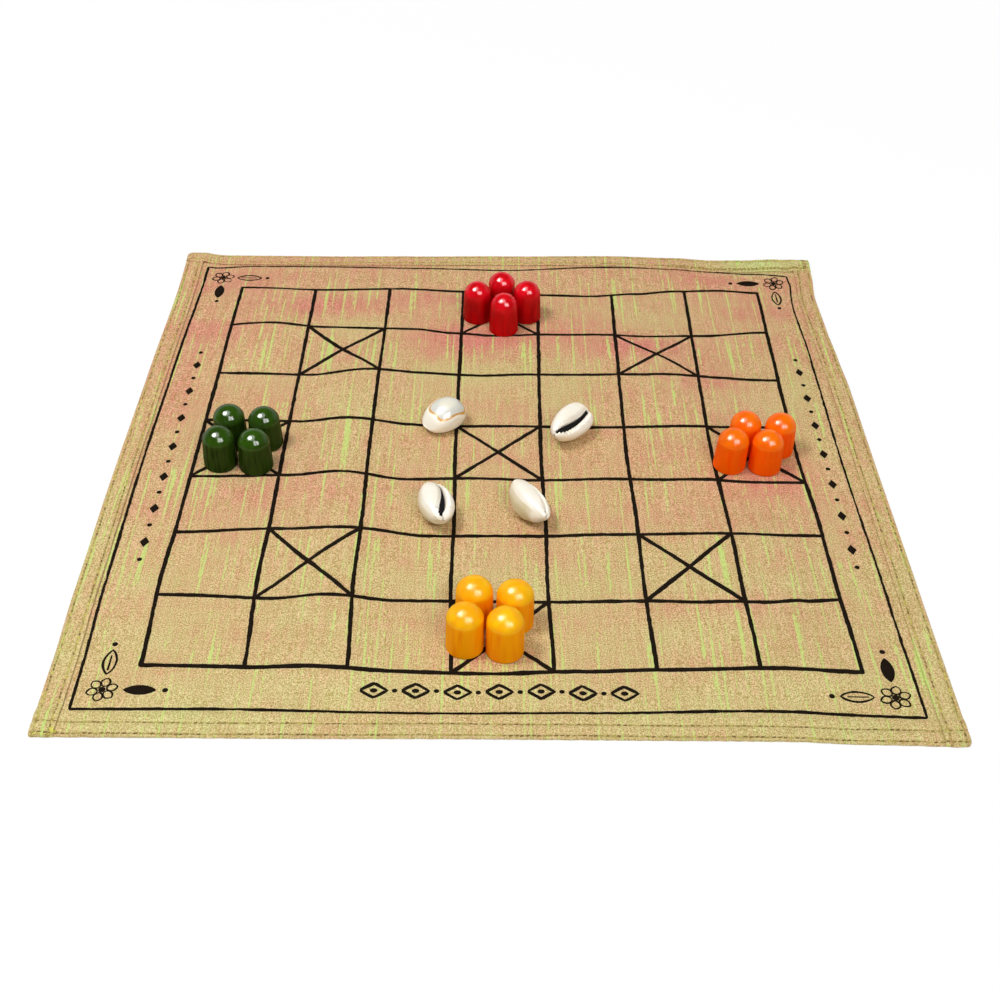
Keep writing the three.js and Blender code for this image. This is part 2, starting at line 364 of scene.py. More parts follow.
def clothTop(x, y):
    x, y = np.asarray(x, float), np.asarray(y, float)
    cell, fade = cloth["cell"], cloth["waveFade"]
    z = cloth["thick"] + frontClimb(y)
    for at, front, back, left, right, height in cloth["waves"]:
        off = x - at * cell
        rise = ease((y - front * cell) / fade) * ease((back * cell - y) / fade)
        z = z + height * swell(off / np.where(off < 0, left, right)) * rise
    z = z + curve(cloth["backLift"], x) * ease((y - cloth["backLiftFrom"]) / cloth["backLiftFade"])
    calm = ease((hemX - np.abs(x)) / cloth["calmFade"]) * ease((hemY - np.abs(y)) / cloth["calmFade"])
    z = z + ripples(x, y) * calm
    inset = y + cloth["edgeY"]
    seams = seamDips("front", inset, x) * ease((cloth["frontSeamReach"] - inset) / cloth["frontSeamFade"])
    z = z + np.where(inset < cloth["frontSeamReach"], seams, 0)
    for foot, axis, reach, _ in footings.values():
        away = np.hypot(x - foot[0], y - foot[1])
        slope = (axis[0] * (x - foot[0]) + axis[1] * (y - foot[1])) / axis[2]
        hold = 1 - ease((away - reach - cloth["footMargin"]) / cloth["footFade"])
        z = z + (foot[2] - slope - cloth["footSink"] - z) * hold
    for low, high in shellBoxes.values():
        away = np.hypot(x - (low[0] + high[0]) / 2, y - (low[1] + high[1]) / 2)
        hold = 1 - ease((away - cloth["shellFlat"]) / cloth["shellFade"])
        z = z + (cloth["thick"] - z) * hold
    return z


def settle(points):
    # draws the edges in and rounds the corners
    x, y, z = points[..., 0].copy(), points[..., 1].copy(), points[..., 2]
    fade = cloth["drawFade"]
    pullFront = curve(cloth["frontDraw"], x) * ease((-y - cloth["edgeY"] + fade) / fade)
    pullBack = curve(cloth["backDraw"], x) * ease((y - cloth["edgeY"] + fade) / fade)
    pullLeft = curve(cloth["leftDraw"], y) * ease((-x - cloth["edgeX"] + fade) / fade)
    pullRight = curve(cloth["rightDraw"], y) * ease((x - cloth["edgeX"] + fade) / fade)
    for sideX, sideY, reach in cloth["corners"]:
        u = np.clip((sideX * x - cloth["edgeX"] + reach) / reach, 0, 1.2)
        v = np.clip((sideY * y - cloth["edgeY"] + reach) / reach, 0, 1.2)
        inside = (u > 0) & (v > 0)
        x = np.where(inside, sideX * (cloth["edgeX"] - reach + reach * u * np.sqrt(1 - v * v / 2)), x)
        y = np.where(inside, sideY * (cloth["edgeY"] - reach + reach * v * np.sqrt(1 - u * u / 2)), y)
    return np.stack([x + pullLeft - pullRight, y + pullFront - pullBack, z], -1)


def edgeLines(low, high, step, rimLow=True):
    # lines across a sheet, closer together at its cut edges
    start = [low + r for r in rim] if rimLow else [low]
    end = [high - r for r in reversed(rim)]
    count = max(1, math.ceil((end[0] - start[-1]) / step))
    return np.array(start[:-1] + list(np.linspace(start[-1], end[0], count + 1)) + end[1:])


def rimShare(distance):
    inside = 1 - np.clip(distance / half, 0, 1)
    return np.sqrt(np.clip(1 - inside * inside, 0, 1))


def sheetPiece(name, xs, ys, middle, material, shade):
    # closed sheet with round rims over a net of flat x and y lines
    x, y = np.meshgrid(xs, ys)
    points = settle(middle(x, y))
    across, along = np.gradient(points, axis=1), np.gradient(points, axis=0)
    out = np.cross(across, along)
    out /= np.linalg.norm(out, axis=-1, keepdims=True)
    toRim = np.minimum(np.minimum(x - xs[0], xs[-1] - x), np.minimum(y - ys[0], ys[-1] - y))
    lift = out * (half * rimShare(toRim))[..., None]
    rows, columns = x.shape
    upper = np.arange(rows * columns).reshape(rows, columns)
    lower = upper.copy()
    lower[1:-1, 1:-1] = rows * columns + np.arange((rows - 2) * (columns - 2)).reshape(rows - 2, -1)
    low = (points - lift)[1:-1, 1:-1]
    allPoints = np.concatenate([(points + lift).reshape(-1, 3), low.reshape(-1, 3)])
    # seams can't draw the cloth below the table
    allPoints[:, 2] = np.maximum(allPoints[:, 2], 0)

    def quads(net):
        return np.stack([net[:-1, :-1], net[:-1, 1:], net[1:, 1:], net[1:, :-1]], -1).reshape(-1, 4)

    faces = np.concatenate([quads(upper), quads(lower)[:, ::-1]])
    piece = makePiece(name, allPoints, faces, material, "board")
    flat = np.stack([x, y], -1)
    flat = np.concatenate([flat.reshape(-1, 2), flat[1:-1, 1:-1].reshape(-1, 2)]).T
    addAttribute(piece, "rose", roseShare(*flat))
    # seam holds the share of painted shade along the seams
    addAttribute(piece, "seam", shade(*flat))
    return piece


# Silk: gold and rose threads shot through each other, with pale green slubs
silk = {
    "gold": srgb(203, 187, 123),
    "rose": srgb(209, 131, 110),
    "green": srgb(200, 209, 129),
    "slub": srgb(198, 226, 124),
    "dim": (0.66, 0.61, 0.35, 1),
    "bright": (1.31, 1.37, 1.76, 1),
    # painted shade, multiplied into the silk along the seams
    "groove": (0.64, 0.56, 0.38, 1),
    "finish": {"Specular IOR Level": 0.05, "Sheen Weight": 0.05, "Sheen Roughness": 0.4},
    # rose of the ground: its share at the front, then what is added from a y on, over a reach
    "frontRose": 0.1,
    "moreRose": [(0.27, -132, 110), (0.1, 40, 70)],
    # rosy places: x, y, reach x, reach y in millimetres, and strength; greener ones are negative. Most are
    # the silk's own rose; those at (-100, -34), (124, -22), (14, -58) and (-4, -136), in front of the pawns
    # and by a shell, are painted shade and painted bounce light from the pawns
    "blushesAndPaintedLight": [
        (-150, 100, 22, 13, 0.44), (-146, 146, 30, 9, 0.28), (-92, 127, 34, 12, 0.54),
        (-45, 136, 22, 9, 0.24), (-138, 160, 34, 9, 0.28), (-72, 108, 20, 11, -0.5),
        (-160, 52, 9, 32, 0.38), (-160, -60, 12, 40, 0.14), (-100, -34, 34, 14, 0.3),
        (-16, 95, 29, 14, 0.86), (36, 100, 22, 9, 0.4), (72, 90, 22, 11, 0.7), (111, 66, 14, 18, 0.4),
        (122, 159, 44, 11, 0.48), (146, 126, 20, 10, 0.28), (150, 174, 27, 12, -1.0),
        (88, 113, 22, 13, -0.3), (-10, 64, 46, 13, -0.42), (-70, 28, 14, 26, -0.26),
        (30, 44, 11, 20, -0.24), (68, 22, 26, 20, 0.14), (124, -22, 28, 13, 0.46),
        (92, -40, 30, 14, 0.1), (14, -58, 14, 12, 0.2), (100, -108, 60, 9, 0.26),
        (-60, -112, 70, 12, 0.06), (-40, 30, 16, 20, -0.14), (152, 50, 14, 20, -0.36),
        (158, 2, 10, 18, -0.3), (-120, -172, 60, 10, -0.3), (110, -172, 70, 10, -0.3),
        (-20, -160, 110, 9, -0.16), (20, -92, 90, 9, -0.18), (-176, 70, 8, 60, 0.2),
        (-176, -40, 8, 20, -0.2), (-100, 176, 60, 7, 0.14), (-4, -136, 16, 7, 0.4),
        (70, -135, 50, 8, 0.14),
    ],
}


def roseShare(x, y):
    share = silk["frontRose"]
    for more, start, reach in silk["moreRose"]:
        share = share + more * ease((y - start) / reach)
    # the rosy places hold painted shade and bounce light in front of the pawns as well as the silk's own rose
    for atX, atY, reachX, reachY, strength in silk["blushesAndPaintedLight"]:
        share = share + strength * np.exp(-(((x - atX) / reachX) ** 2) - ((y - atY) / reachY) ** 2)
    return np.clip(share, -1, 1.2)


def silkPaint(name, khaki):
    material, paint, shader = surface(name, silk["finish"])
    at = paint.millimetres()
    cloudy = paint.noise(at, (0.02, 0.05, 0.02), 3.0, 0.6)
    fine = paint.noise(at, (2.0, 1.55, 2.0), 1.0, 0.7)
    warp = paint.noise(at, (1.1, 0.035, 0.1), 2.0, 0.6)
    weft = paint.noise(at, (0.035, 0.75, 0.1), 2.0, 0.6)
    tint = paint.noise(paint.shift(at, (40.0, 12.0, 5.0)), (1.6, 1.2, 1.6), 1.0, 0.8)
    strand = paint.noise(paint.shift(at, (3.0, 70.0, 9.0)), (0.4, 0.05, 0.2), 3.0, 0.65)
    rose = paint.attribute("rose") - khaki + (cloudy - 0.5) * 0.9
    rose = rose + (tint - 0.5) * 1.0 + (strand - 0.5) * 1.3
    ground = paint.mix(paint.step(rose, -0.4, 1.4), silk["gold"], silk["rose"])
    ground = paint.mix(paint.step(rose, -0.1, -1.0) * 0.9, ground, silk["green"])
    x, y, _ = paint.parts(at)
    grain = 3.4 + y * 0.004
    speck = paint.step((fine - 0.5) * grain + (warp - 0.5) * 0.5 + (weft - 0.5) * 0.3, -0.6, 0.6)
    colour = paint.mix(speck, paint.mix(1.0, ground, silk["dim"], "MULTIPLY"),
                       paint.mix(1.0, ground, silk["bright"], "MULTIPLY"))
    streak = paint.noise(at, (0.78, 0.018, 0.1), 0.0, 0.5)
    ragged = paint.noise(paint.shift(at, (7.0, 31.0, 3.0)), (0.6, 0.22, 0.5), 2.0, 0.75)
    crowd = paint.noise(paint.shift(at, (90.0, 3.0, 3.0)), (0.05, 0.012, 0.1), 2.0)
    slub = paint.step(streak + (ragged - 0.5) * 0.42 + (crowd - 0.5) * 0.16, 0.66, 0.745)
    colour = paint.mix(slub * (0.52 + speck * 0.36), colour, silk["slub"])
    # painted shade along the seams, where the seam attribute is high
    groove = paint.step(paint.attribute("seam") + (fine - 0.5) * 0.9, 0.2, 1.1)
    colour = paint.mix(groove * 0.8, colour, paint.mix(1.0, colour, silk["groove"], "MULTIPLY"))
    across = paint.sum("SINE", x * (math.pi / 0.55))
    down = paint.sum("SINE", y * (math.pi / 0.5))
    relief = fine * 0.8 + warp * 0.5 + weft * 0.5 + slub * 0.8 + across * down * 0.12
    paint.finish(shader, colour, 0.8 - slub * 0.12 - fine * 0.1, relief, 0.35, 0.2)
    return material


silkMaterial = silkPaint("slubbed_silk", 0.0)
hemMaterial = silkPaint("slubbed_silk_hem", 0.12)


def overFront(points, limit=math.pi):
    # turns what runs past the front edge down and under
    x, y, z = points[..., 0], points[..., 1], points[..., 2]
    over = -turnY - y
    level = z - (clothTop(x, np.maximum(y, -turnY)) - half)
    angle = np.clip(over / fold, 0, limit)
    reach = fold + level * 0.55
    centre = z - reach
    newY = np.where(over > 0, -turnY - reach * np.sin(angle), y)
    newZ = np.where(over > 0, centre + reach * np.cos(angle), z)
    return np.stack([x, newY, newZ], -1)


def groundMiddle(x, y):
    return overFront(np.stack([x, y, clothTop(x, np.maximum(y, -turnY)) - half], -1))


def turnOver(place, edge, z):
    # rolls what runs past a turned edge down and under
    over = place - edge
    angle = np.clip(over / fold, 0, math.pi)
    rolled = np.where(over > 0, edge + fold * np.sin(angle), place)
    return rolled, np.where(over > 0, z - fold * (1 - np.cos(angle)), z)


def hemPuff(side, inset, along):
    bulge = cloth["puff"] * np.sin(np.clip(inset / cloth["hem"], 0, 1) * math.pi)
    return (bulge + seamDips(side, inset, along)) * ease(inset / cloth["puffFade"])


def sideMiddle(side):
    def middle(x, y):
        inner = side * np.minimum(side * x, turnX)
        z = clothTop(inner, np.maximum(y, -turnY)) + cloth["seamGap"] + half
        z = z + hemPuff("left", cloth["edgeX"] - side * x, y)
        newX, newZ = turnOver(side * x, turnX, z)
        return overFront(np.stack([side * newX, y, newZ], -1), cloth["sideTurn"])

    return middle


def backMiddle(x, y):
    inset = cloth["edgeY"] - y
    start, full, share = cloth["backGrow"]
    wider = 1 + share * ease((x - start) / (full - start))
    y = np.where(y < turnY, turnY - (turnY - y) * wider, y)
    z = clothTop(x, np.minimum(y, turnY)) + cloth["seamGap"] + half + hemPuff("back", inset, x)
    fade = cloth["backStepFade"]
    climb = layer * cloth["backStep"] * ease((np.abs(x) - hemX + fade) / fade)
    z = z + climb * ease(inset / cloth["backStepRise"])
    newY, newZ = turnOver(y, turnY, z)
    return np.stack([x, newY, newZ], -1)


def underMiddle(x, y):
    return np.stack([x, y, np.full_like(x, half)], -1)


def hemLines(inner, edge):
    # lines across a hem, from its cut edge and round the fold
    cut = [inner + r for r in rim[:-1]]
    turned = edge + np.linspace(0, turnLength, 8)[1:]
    return np.concatenate([cut, np.linspace(inner + half, edge, 22), turned])


def frontShade(x, y):
    return seamShade("front", y + cloth["edgeY"], x)


def sideShade(x, y):
    return seamShade("left", cloth["edgeX"] - np.abs(x), y) + frontShade(x, y)


def backShade(x, y):
    return seamShade("back", cloth["edgeY"] - y, x)


def noShade(x, y):
    return 0 * x


def addCloth():
    net, hemNet = cloth["net"], cloth["hemNet"]
    underX, underY = cloth["underNet"]
    fineEnd = -hemY + cloth["fineReach"]
    frontTurn = -turnY - np.linspace(turnLength, 0, 8)[:-1]
    frontRim = [frontTurn[0] - half, frontTurn[0] - 0.2]
    frontFine = np.linspace(-turnY, fineEnd, 27)[:-1]
    groundY = np.concatenate([frontRim, frontTurn, frontFine, edgeLines(fineEnd, turnY, net, rimLow=False)])
    sideTurn = -turnY - np.linspace(fold * cloth["sideTurn"], 0, 6)[:-1]
    sideFine = np.linspace(-turnY, fineEnd, 20)[:-1]
    sideRest = edgeLines(fineEnd, hemY + cloth["sideOverlap"], hemNet, rimLow=False)
    sideX, sideY = hemLines(hemX, turnX), np.concatenate([sideTurn, sideFine, sideRest])
    backEnd = cloth["edgeX"] - 0.1
    backX, backY = edgeLines(-backEnd, backEnd, hemNet), hemLines(hemY, turnY)
    frontX, frontY = edgeLines(-turnX, turnX, underX), edgeLines(-turnY, -hemY, underY)
    ground = sheetPiece("silk_cloth", edgeLines(-turnX, turnX, net), groundY, groundMiddle, silkMaterial,
                        frontShade)
    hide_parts("ground_cloth")
    pieces = {"ground": ground}
    hems = {
        "left": (-sideX[::-1], sideY, sideMiddle(-1), sideShade),
        "right": (sideX, sideY, sideMiddle(1), sideShade),
        "back": (backX, backY, backMiddle, backShade),
        "front": (frontX, frontY, underMiddle, noShade),
    }
    for side, (xs, ys, middle, shade) in hems.items():
        pieces[side] = sheetPiece("hem_" + side, xs, ys, middle, hemMaterial, shade)
        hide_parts(side + "_hem")
    return pieces


clothPieces = addCloth()
print("cloth and hems laid")


# Collected geometry of one piece
class Stock:
    def __init__(self):
        self.points = []
        self.faces = []
        self.tones = []

    def add(self, points, faces, tone=0.0):
        base = len(self.points)
        self.points.extend(points)
        self.faces.extend([tuple(base + i for i in face) for face in faces])
        self.tones.extend([tone] * len(points))


# Sewing thread
stitching = {
    "length": 1.9,
    "gap": 0.28,
    "wide": 0.36,
    "high": 0.2,
    "sink": 0.16,
    "arch": 0.2,
    "slant": 0.3,
    "jitter": 0.12,
    "wander": 0.18,
    "sides": 6,
    "rings": 6,
    "light": srgb(206, 200, 92),
    "dark": srgb(112, 88, 38),
    "tones": {"left": (0.1, 0.9), "right": (0.1, 0.9), "front": (0.0, 0.6), "back": (0.25, 0.9)},
    # how far rows stop short of the ends, the front edge and the back hem
    "rowInset": 1.2,
    "frontInset": 3.2,
    "backInset": 0.6,
    # two short rows close the right end of the back hem, and two long ones go over its inner row
    "closing": {"insets": (3.0, 3.9), "above": 0.6, "below": 6.5, "tones": (0.0, 0.4)},
    "doubling": {"offsets": (-1.0, 0.5), "length": 82.0, "close": 0.6, "tones": (0.0, 0.5)},
    # a pale row at the front left corner, with a knot of thread
    "corner": {"from": 0.5, "to": 0.4, "tones": (0.7, 1.0)},
    "knot": {"strands": 9, "off": 0.6, "spread": 0.5, "reach": (0.7, 1.5), "lift": 0.18},
}


def threadPaint():
    material, paint, shader = surface("sewing_thread", {"Specular IOR Level": 0.1})
    at = paint.millimetres()
    tone = paint.noise(at, (0.35, 0.35, 0.35), 2.0)
    twist = paint.noise(at, (5.0, 5.0, 5.0), 1.0)
    share = paint.attribute("tone") + (tone - 0.5) * 0.8 + (twist - 0.5) * 0.4
    colour = paint.mix(paint.step(share, 0.0, 1.0), stitching["dark"], stitching["light"])
    paint.finish(shader, colour, 0.5 + twist * 0.25, twist, 0.4, 0.1)
    return material


threadMaterial = threadPaint()


def addStitch(stock, start, end, place, tone):
    # one stitch: a flattened thread whose ends dive into the cloth
    sides, rings = stitching["sides"], stitching["rings"]
    start, end = np.array(start, float), np.array(end, float)
    along = (end - start) / np.linalg.norm(end - start)
    across = np.array([-along[1], along[0]])
    points = []
    for r in range(rings + 1):
        t = r / rings
        flat = start + (end - start) * t
        at = place(flat[0], flat[1])
        arch = math.sin(math.pi * t) ** 0.5
        height = at[2] - stitching["sink"] + stitching["arch"] * arch
        size = 0.55 + 0.45 * arch
        for s in range(sides):
            angle = 2 * math.pi * s / sides
            offset = across * math.cos(angle) * stitching["wide"] * size
            points.append((at[0] + offset[0], at[1] + offset[1],
                           height + math.sin(angle) * stitching["high"] * size))
    faces = [tuple(range(sides))[::-1], tuple(rings * sides + s for s in range(sides))]
    stock.add(settle(np.array(points)), faces + tubeFaces(rings + 1, sides), tone)


def addSeam(stock, start, end, place, draw, tones):
    start, end = np.array(start, float), np.array(end, float)
    length = np.linalg.norm(end - start)
    along = (end - start) / length
    across = np.array([-along[1], along[0]])
    pitch = stitching["length"] + stitching["gap"]
    count = int(length / pitch)
    for i in range(count):
        jitter = draw.normal(0, stitching["jitter"], 2)
        first = start + along * (i * pitch + stitching["gap"] / 2 + jitter[0])
        last = first + along * stitching["length"] * (1 + 0.1 * jitter[1])
        wander = across * stitching["wander"] * math.sin(i * 0.23 + start[0])
        lean = across * stitching["slant"] / 2
        addStitch(stock, first + wander - lean, last + wander + lean, place, draw.uniform(*tones))


# Places on top of the hems, from flat x and y
def onSide(side):
    middle = sideMiddle(side)

    def place(x, y):
        return middle(np.array(x), np.array(y)) + (0, 0, half)

    return place


def onBack(x, y):
    return backMiddle(np.array(x), np.array(y)) + (0, 0, half)


def onFront(x, y):
    overHem = float(ease((abs(x) - hemX + 0.4) / 0.8))
    low = np.array([x, y, float(clothTop(x, y))])
    return low * (1 - overHem) + onSide(1 if x > 0 else -1)(x, y) * overHem


def onKnot(x, y):
    return onFront(x, y) + (0, 0, stitching["knot"]["lift"])


def addExtraRows(stock, side, row, y, place, draw):
    rowEnd = cloth["edgeX"] - stitching["rowInset"]
    if (side, row) == ("back", "outer"):
        closing = stitching["closing"]
        for inset in closing["insets"]:
            x = cloth["edgeX"] - inset
            start, end = (x, y + closing["above"]), (x, y - closing["below"])
            addSeam(stock, start, end, place, draw, closing["tones"])
    if (side, row) == ("back", "inner"):
        doubling = stitching["doubling"]
        for offset in doubling["offsets"]:
            start, end = (rowEnd - doubling["length"], y + offset), (rowEnd, y + offset * doubling["close"])
            addSeam(stock, start, end, place, draw, doubling["tones"])
    if (side, row) == ("front", "outer"):
        corner, knot = stitching["corner"], stitching["knot"]
        addSeam(stock, (-rowEnd, y - corner["from"]), (-hemX, y - corner["to"]), place, draw, corner["tones"])
        for _ in range(knot["strands"]):
            turn = draw.uniform(0, math.pi)
            middle = np.array([-hemX - knot["off"], y + knot["off"]]) + draw.normal(0, knot["spread"], 2)
            reach = np.array([math.cos(turn), math.sin(turn)]) * draw.uniform(*knot["reach"])
            addStitch(stock, middle - reach, middle + reach, onKnot, 1.0)


def addStitching():
    made = []
    rowEnd = cloth["edgeX"] - stitching["rowInset"]
    sideFrom, sideTo = -cloth["edgeY"] + stitching["frontInset"], hemY - stitching["backInset"]
    for number, row in enumerate(("outer", "inner")):
        x = cloth["edgeX"] - cloth["seamRows"]["left"][number]
        backY = cloth["edgeY"] - cloth["seamRows"]["back"][number]
        frontY = cloth["seamRows"]["front"][number] - cloth["edgeY"]
        runs = {
            "left": ((-x, sideFrom), (-x, sideTo), onSide(-1)),
            "right": ((x, sideFrom), (x, sideTo), onSide(1)),
            "front": ((-rowEnd, frontY), (rowEnd, frontY), onFront),
            "back": ((-rowEnd, backY), (rowEnd, backY), onBack),
        }
        for order, (side, (start, end, place)) in enumerate(runs.items()):
            draw = np.random.RandomState(40 + 10 * number + order)
            stock = Stock()
            addSeam(stock, start, end, place, draw, stitching["tones"][side])
            addExtraRows(stock, side, row, start[1], place, draw)
            name = f"stitches_{side}_{row}"
            piece = makePiece(name, stock.points, stock.faces, threadMaterial, "board")
            addAttribute(piece, "tone", stock.tones)
            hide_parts(f"{side}_{row}_thread")
            made.append(piece)
    return made


stitchPieces = addStitching()
print("stitches sewn:", len(stitchPieces), "rows")


# Printed ink. Strays say how far a line lies off its true place: cells along it, then millimetres
printing = {
    "ink": srgb(32, 25, 19),
    "worn": srgb(55, 46, 38),
    "columns": 1.81,
    "rows": {-3.5: 2.18, -2.5: 2.03, -1.5: 1.95, -0.5: 2.04, 0.5: 2.15, 1.5: 2.1, 2.5: 2.0, 3.5: 2.02},
    "crosses": {(0, 3): 1.9, (-2, 2): 2.36, (2, 2): 1.95, (-3, 0): 1.95, (0, 0): 1.96, (3, 0): 1.95,
                (-2, -2): 1.95, (2, -2): 2.1, (0, -3): 2.05},
    "borders": {"borderLeft": 1.37, "borderRight": 1.1, "borderFront": 1.65, "borderBack": 1.25},
    "fine": 0.75,
    "step": 1.1,
    "rough": 0.075,
    "swell": 0.07,
    "lift": 0.05,
    "depth": 0.12,
    "stack": 0.008,
    # half lengths of the grid's lines and of a cross, in cells
    "gridReach": 3.52,
    "crossReach": 0.48,
    "endShare": 0.7,
    "swellSpan": 15,
    "roughSpan": 3,
    # strays die out past the grid
    "strayEnd": 3.9,
    "strayFade": 0.4,
    "rowStrays": {
        3.5: [(-3.5, 1.2), (-2.6, -0.2), (-1.3, 2.0), (-0.5, 0), (0.6, -2.8), (1.2, -3.4), (1.8, -0.6),
              (2.4, 2.9), (2.95, 4.2), (3.5, 2.2)],
        2.5: [(-3.5, 3), (-2.6, 3.4), (-1.1, 2.2), (-0.6, -1.2), (-0.1, -3), (0.7, -1.5), (1.3, -1),
              (1.9, -3), (2.6, -1.2), (3.5, 3)],
        1.5: [(-3.5, 0), (-2, -0.8), (-1.2, 2.8), (-0.2, 0.4), (0.4, 2), (1.3, 2.6), (1.9, 0), (2.6, 1.5),
              (3.3, -0.8)],
        0.5: [(-3.5, 0.8), (-2.2, 0.5), (-1.5, -0.5), (-0.3, -1.7), (0.7, -1.5), (1.8, -1.5), (2.5, 0)],
        -0.5: [(-3.5, -1.8), (-2.3, -0.2), (-1.1, -2.3), (-0.3, -1.1), (0.4, -2.1), (1.3, -0.5),
               (2, -1.5), (3.5, -1.6)],
        -1.5: [(-3.5, 0), (-2.4, 2.8), (-1.8, 0.6), (-1.3, 1.4), (-0.8, -0.9), (0.4, -0.4), (1.2, 1.4),
               (1.8, 1.8), (2.9, -0.1), (3.5, 1.8)],
        -2.5: [(-3.5, 1), (-1.8, -1.2), (0.4, -1.3), (1.6, 0.2), (2.2, -1.6), (2.7, -2.8), (3.1, -0.4),
               (3.5, 2)],
        -3.5: [(-3.5, 1.6), (-2.3, 0.9), (-1.6, 0), (-0.1, -1.3), (0.8, 0.4), (1.5, 1.7), (3.5, 1.6)],
    },
    "leftStrays": [(-3.5, 0.9), (-2.2, -0.7), (-1.3, 0.1), (3.5, 0.4)],
    "rightStrays": [(-3.5, 1.7), (-2.2, 0.6), (-1.3, 0.5), (0, -1.3), (1.2, -0.8), (2, 0), (3.5, 1)],
    # border line, in cells
    "borderLeft": [(-4.05, -4.055), (-2, -4.075), (0, -4.08), (2, -4.07), (4.045, -4.04)],
    "borderRight": [(-4.05, 4.03), (-2.6, 4.012), (0, 3.98), (1.2, 3.985), (2.4, 4.012), (3.1, 4.0),
                    (3.7, 4.035), (3.97, 4.0)],
    "borderFront": [(-4.055, -4.05), (-2.7, -4.035), (-0.5, -4.085), (0.8, -4.06), (2.5, -4.01),
                    (4.03, -4.05)],
    "borderBack": [(-4.04, 4.045), (-3.4, 4.11), (-2.5, 4.12), (-1.1, 4.085), (0, 4.035), (1.4, 4.11),
                   (2.1, 4.12), (2.8, 4.095), (3.5, 4.03), (4.0, 3.97)],
}


def inkPaint():
    material, paint, shader = surface("printed_ink", {"Specular IOR Level": 0.0})
    at = paint.millimetres()
    fine = paint.noise(at, (1.5, 1.25, 1.5), 2.0, 0.75)
    colour = paint.mix(paint.step(fine, 0.56, 0.8) * 0.7, printing["ink"], printing["worn"])
    paint.finish(shader, colour, 0.82 - fine * 0.15, fine, 0.35, 0.2)
    return material


inkMaterial = inkPaint()


def stray(x, y):
    cell = cloth["cell"]
    rows = sorted(printing["rowStrays"])
    moves = np.array([curve(printing["rowStrays"][row], x / cell) for row in rows])
    place = np.clip(y / cell, rows[0], rows[-1])
    i = np.clip(np.floor(place - rows[0]).astype(int), 0, len(rows) - 2)
    t = place - rows[0] - i
    picked = np.arange(len(x))
    end, fade = printing["strayEnd"], printing["strayFade"]
    outside = ease((end - np.abs(y / cell)) / fade) * ease((end - np.abs(x / cell)) / fade)
    moveY = (moves[i, picked] * (1 - t) + moves[i + 1, picked] * t) * outside
    right = np.clip(x / cell / 7 + 0.5, 0, 1)
    moveLeft, moveRight = [curve(printing[side + "Strays"], y / cell) for side in ("left", "right")]
    return x + (moveLeft * (1 - right) + moveRight * right) * outside, y + moveY


def resample(path, step):
    path = np.asarray(path, float)
    lengths = np.concatenate([[0], np.cumsum(np.linalg.norm(np.diff(path, axis=0), axis=1))])
    at = np.linspace(0, lengths[-1], max(3, int(lengths[-1] / step) + 1))
    return np.stack([np.interp(at, lengths, path[:, i]) for i in (0, 1)], -1)


def roughness(count, draw, span):
    kernel = np.hanning(span + 2)[1:-1]
    raw = np.convolve(draw.standard_normal(count + span), kernel / np.sqrt((kernel ** 2).sum()), "same")
    return raw[:count]


def inkLine(stock, path, width, draw, lift=0.0, drift=True, closed=False):
    # a printed stroke that lies on the cloth and follows its waves
    path = resample(path, printing["step"])
    if drift:
        path = np.stack(stray(path[:, 0], path[:, 1]), -1)
    count = len(path)
    if closed:
        path = path[:-1]
        count -= 1
        ahead = np.roll(path, -1, axis=0) - np.roll(path, 1, axis=0)
    else:
        ahead = np.gradient(path, axis=0)
    ahead /= np.linalg.norm(ahead, axis=1, keepdims=True)
    across = np.stack([-ahead[:, 1], ahead[:, 0]], -1)
    broad = width / 2 * (1 + printing["swell"] * roughness(count, draw, printing["swellSpan"]))
    edges = [broad + printing["rough"] * roughness(count, draw, printing["roughSpan"]) for _ in (0, 1)]
    if not closed:
        for edge in edges:
            edge[[0, -1]] *= printing["endShare"]
    left = path + across * edges[0][:, None]
    right = path - across * edges[1][:, None]
    rise = printing["lift"] + lift
    points = []
    for side in (left, right):
        z = clothTop(side[:, 0], side[:, 1])
        points.append(np.column_stack([side, z + rise]))
        points.append(np.column_stack([side, z - printing["depth"]]))
    faces = []
    for i in range(count if closed else count - 1):
        n = (i + 1) % count
        ring = [0, 2 * count, 3 * count, count]  # upper left, upper right, lower right, lower left
        for a, b in zip(ring, ring[1:] + ring[:1]):
            faces.append((a + i, b + i, b + n, a + n))
    if not closed:
        faces.append((0, count, 3 * count, 2 * count))
        faces.append((count - 1, 3 * count - 1, 4 * count - 1, 2 * count - 1))
    stock.add(settle(np.concatenate(points)), faces)


def inkLoop(stock, outline, width, draw):
    inkLine(stock, np.concatenate([outline, outline[:1]]), width, draw, drift=False, closed=True)


def inkBlot(stock, centre, outline):
    # a filled printed shape
    count = len(outline)
    ring = centre + outline
    points = []
    for plan in (ring, centre + outline * 0.5, centre[None]):
        points.append(np.column_stack([plan, clothTop(plan[:, 0], plan[:, 1]) + printing["lift"]]))
    points.append(np.column_stack([ring, clothTop(ring[:, 0], ring[:, 1]) - printing["depth"]]))
    hub, under = 2 * count, 2 * count + 1
    faces = [tuple(under + i for i in range(count))[::-1]]
    for i in range(count):
        n = (i + 1) % count
        faces.append((i, n, count + n, count + i))
        faces.append((count + i, count + n, hub))
        faces.append((under + i, under + n, n, i))
    stock.add(settle(np.concatenate(points)), faces)


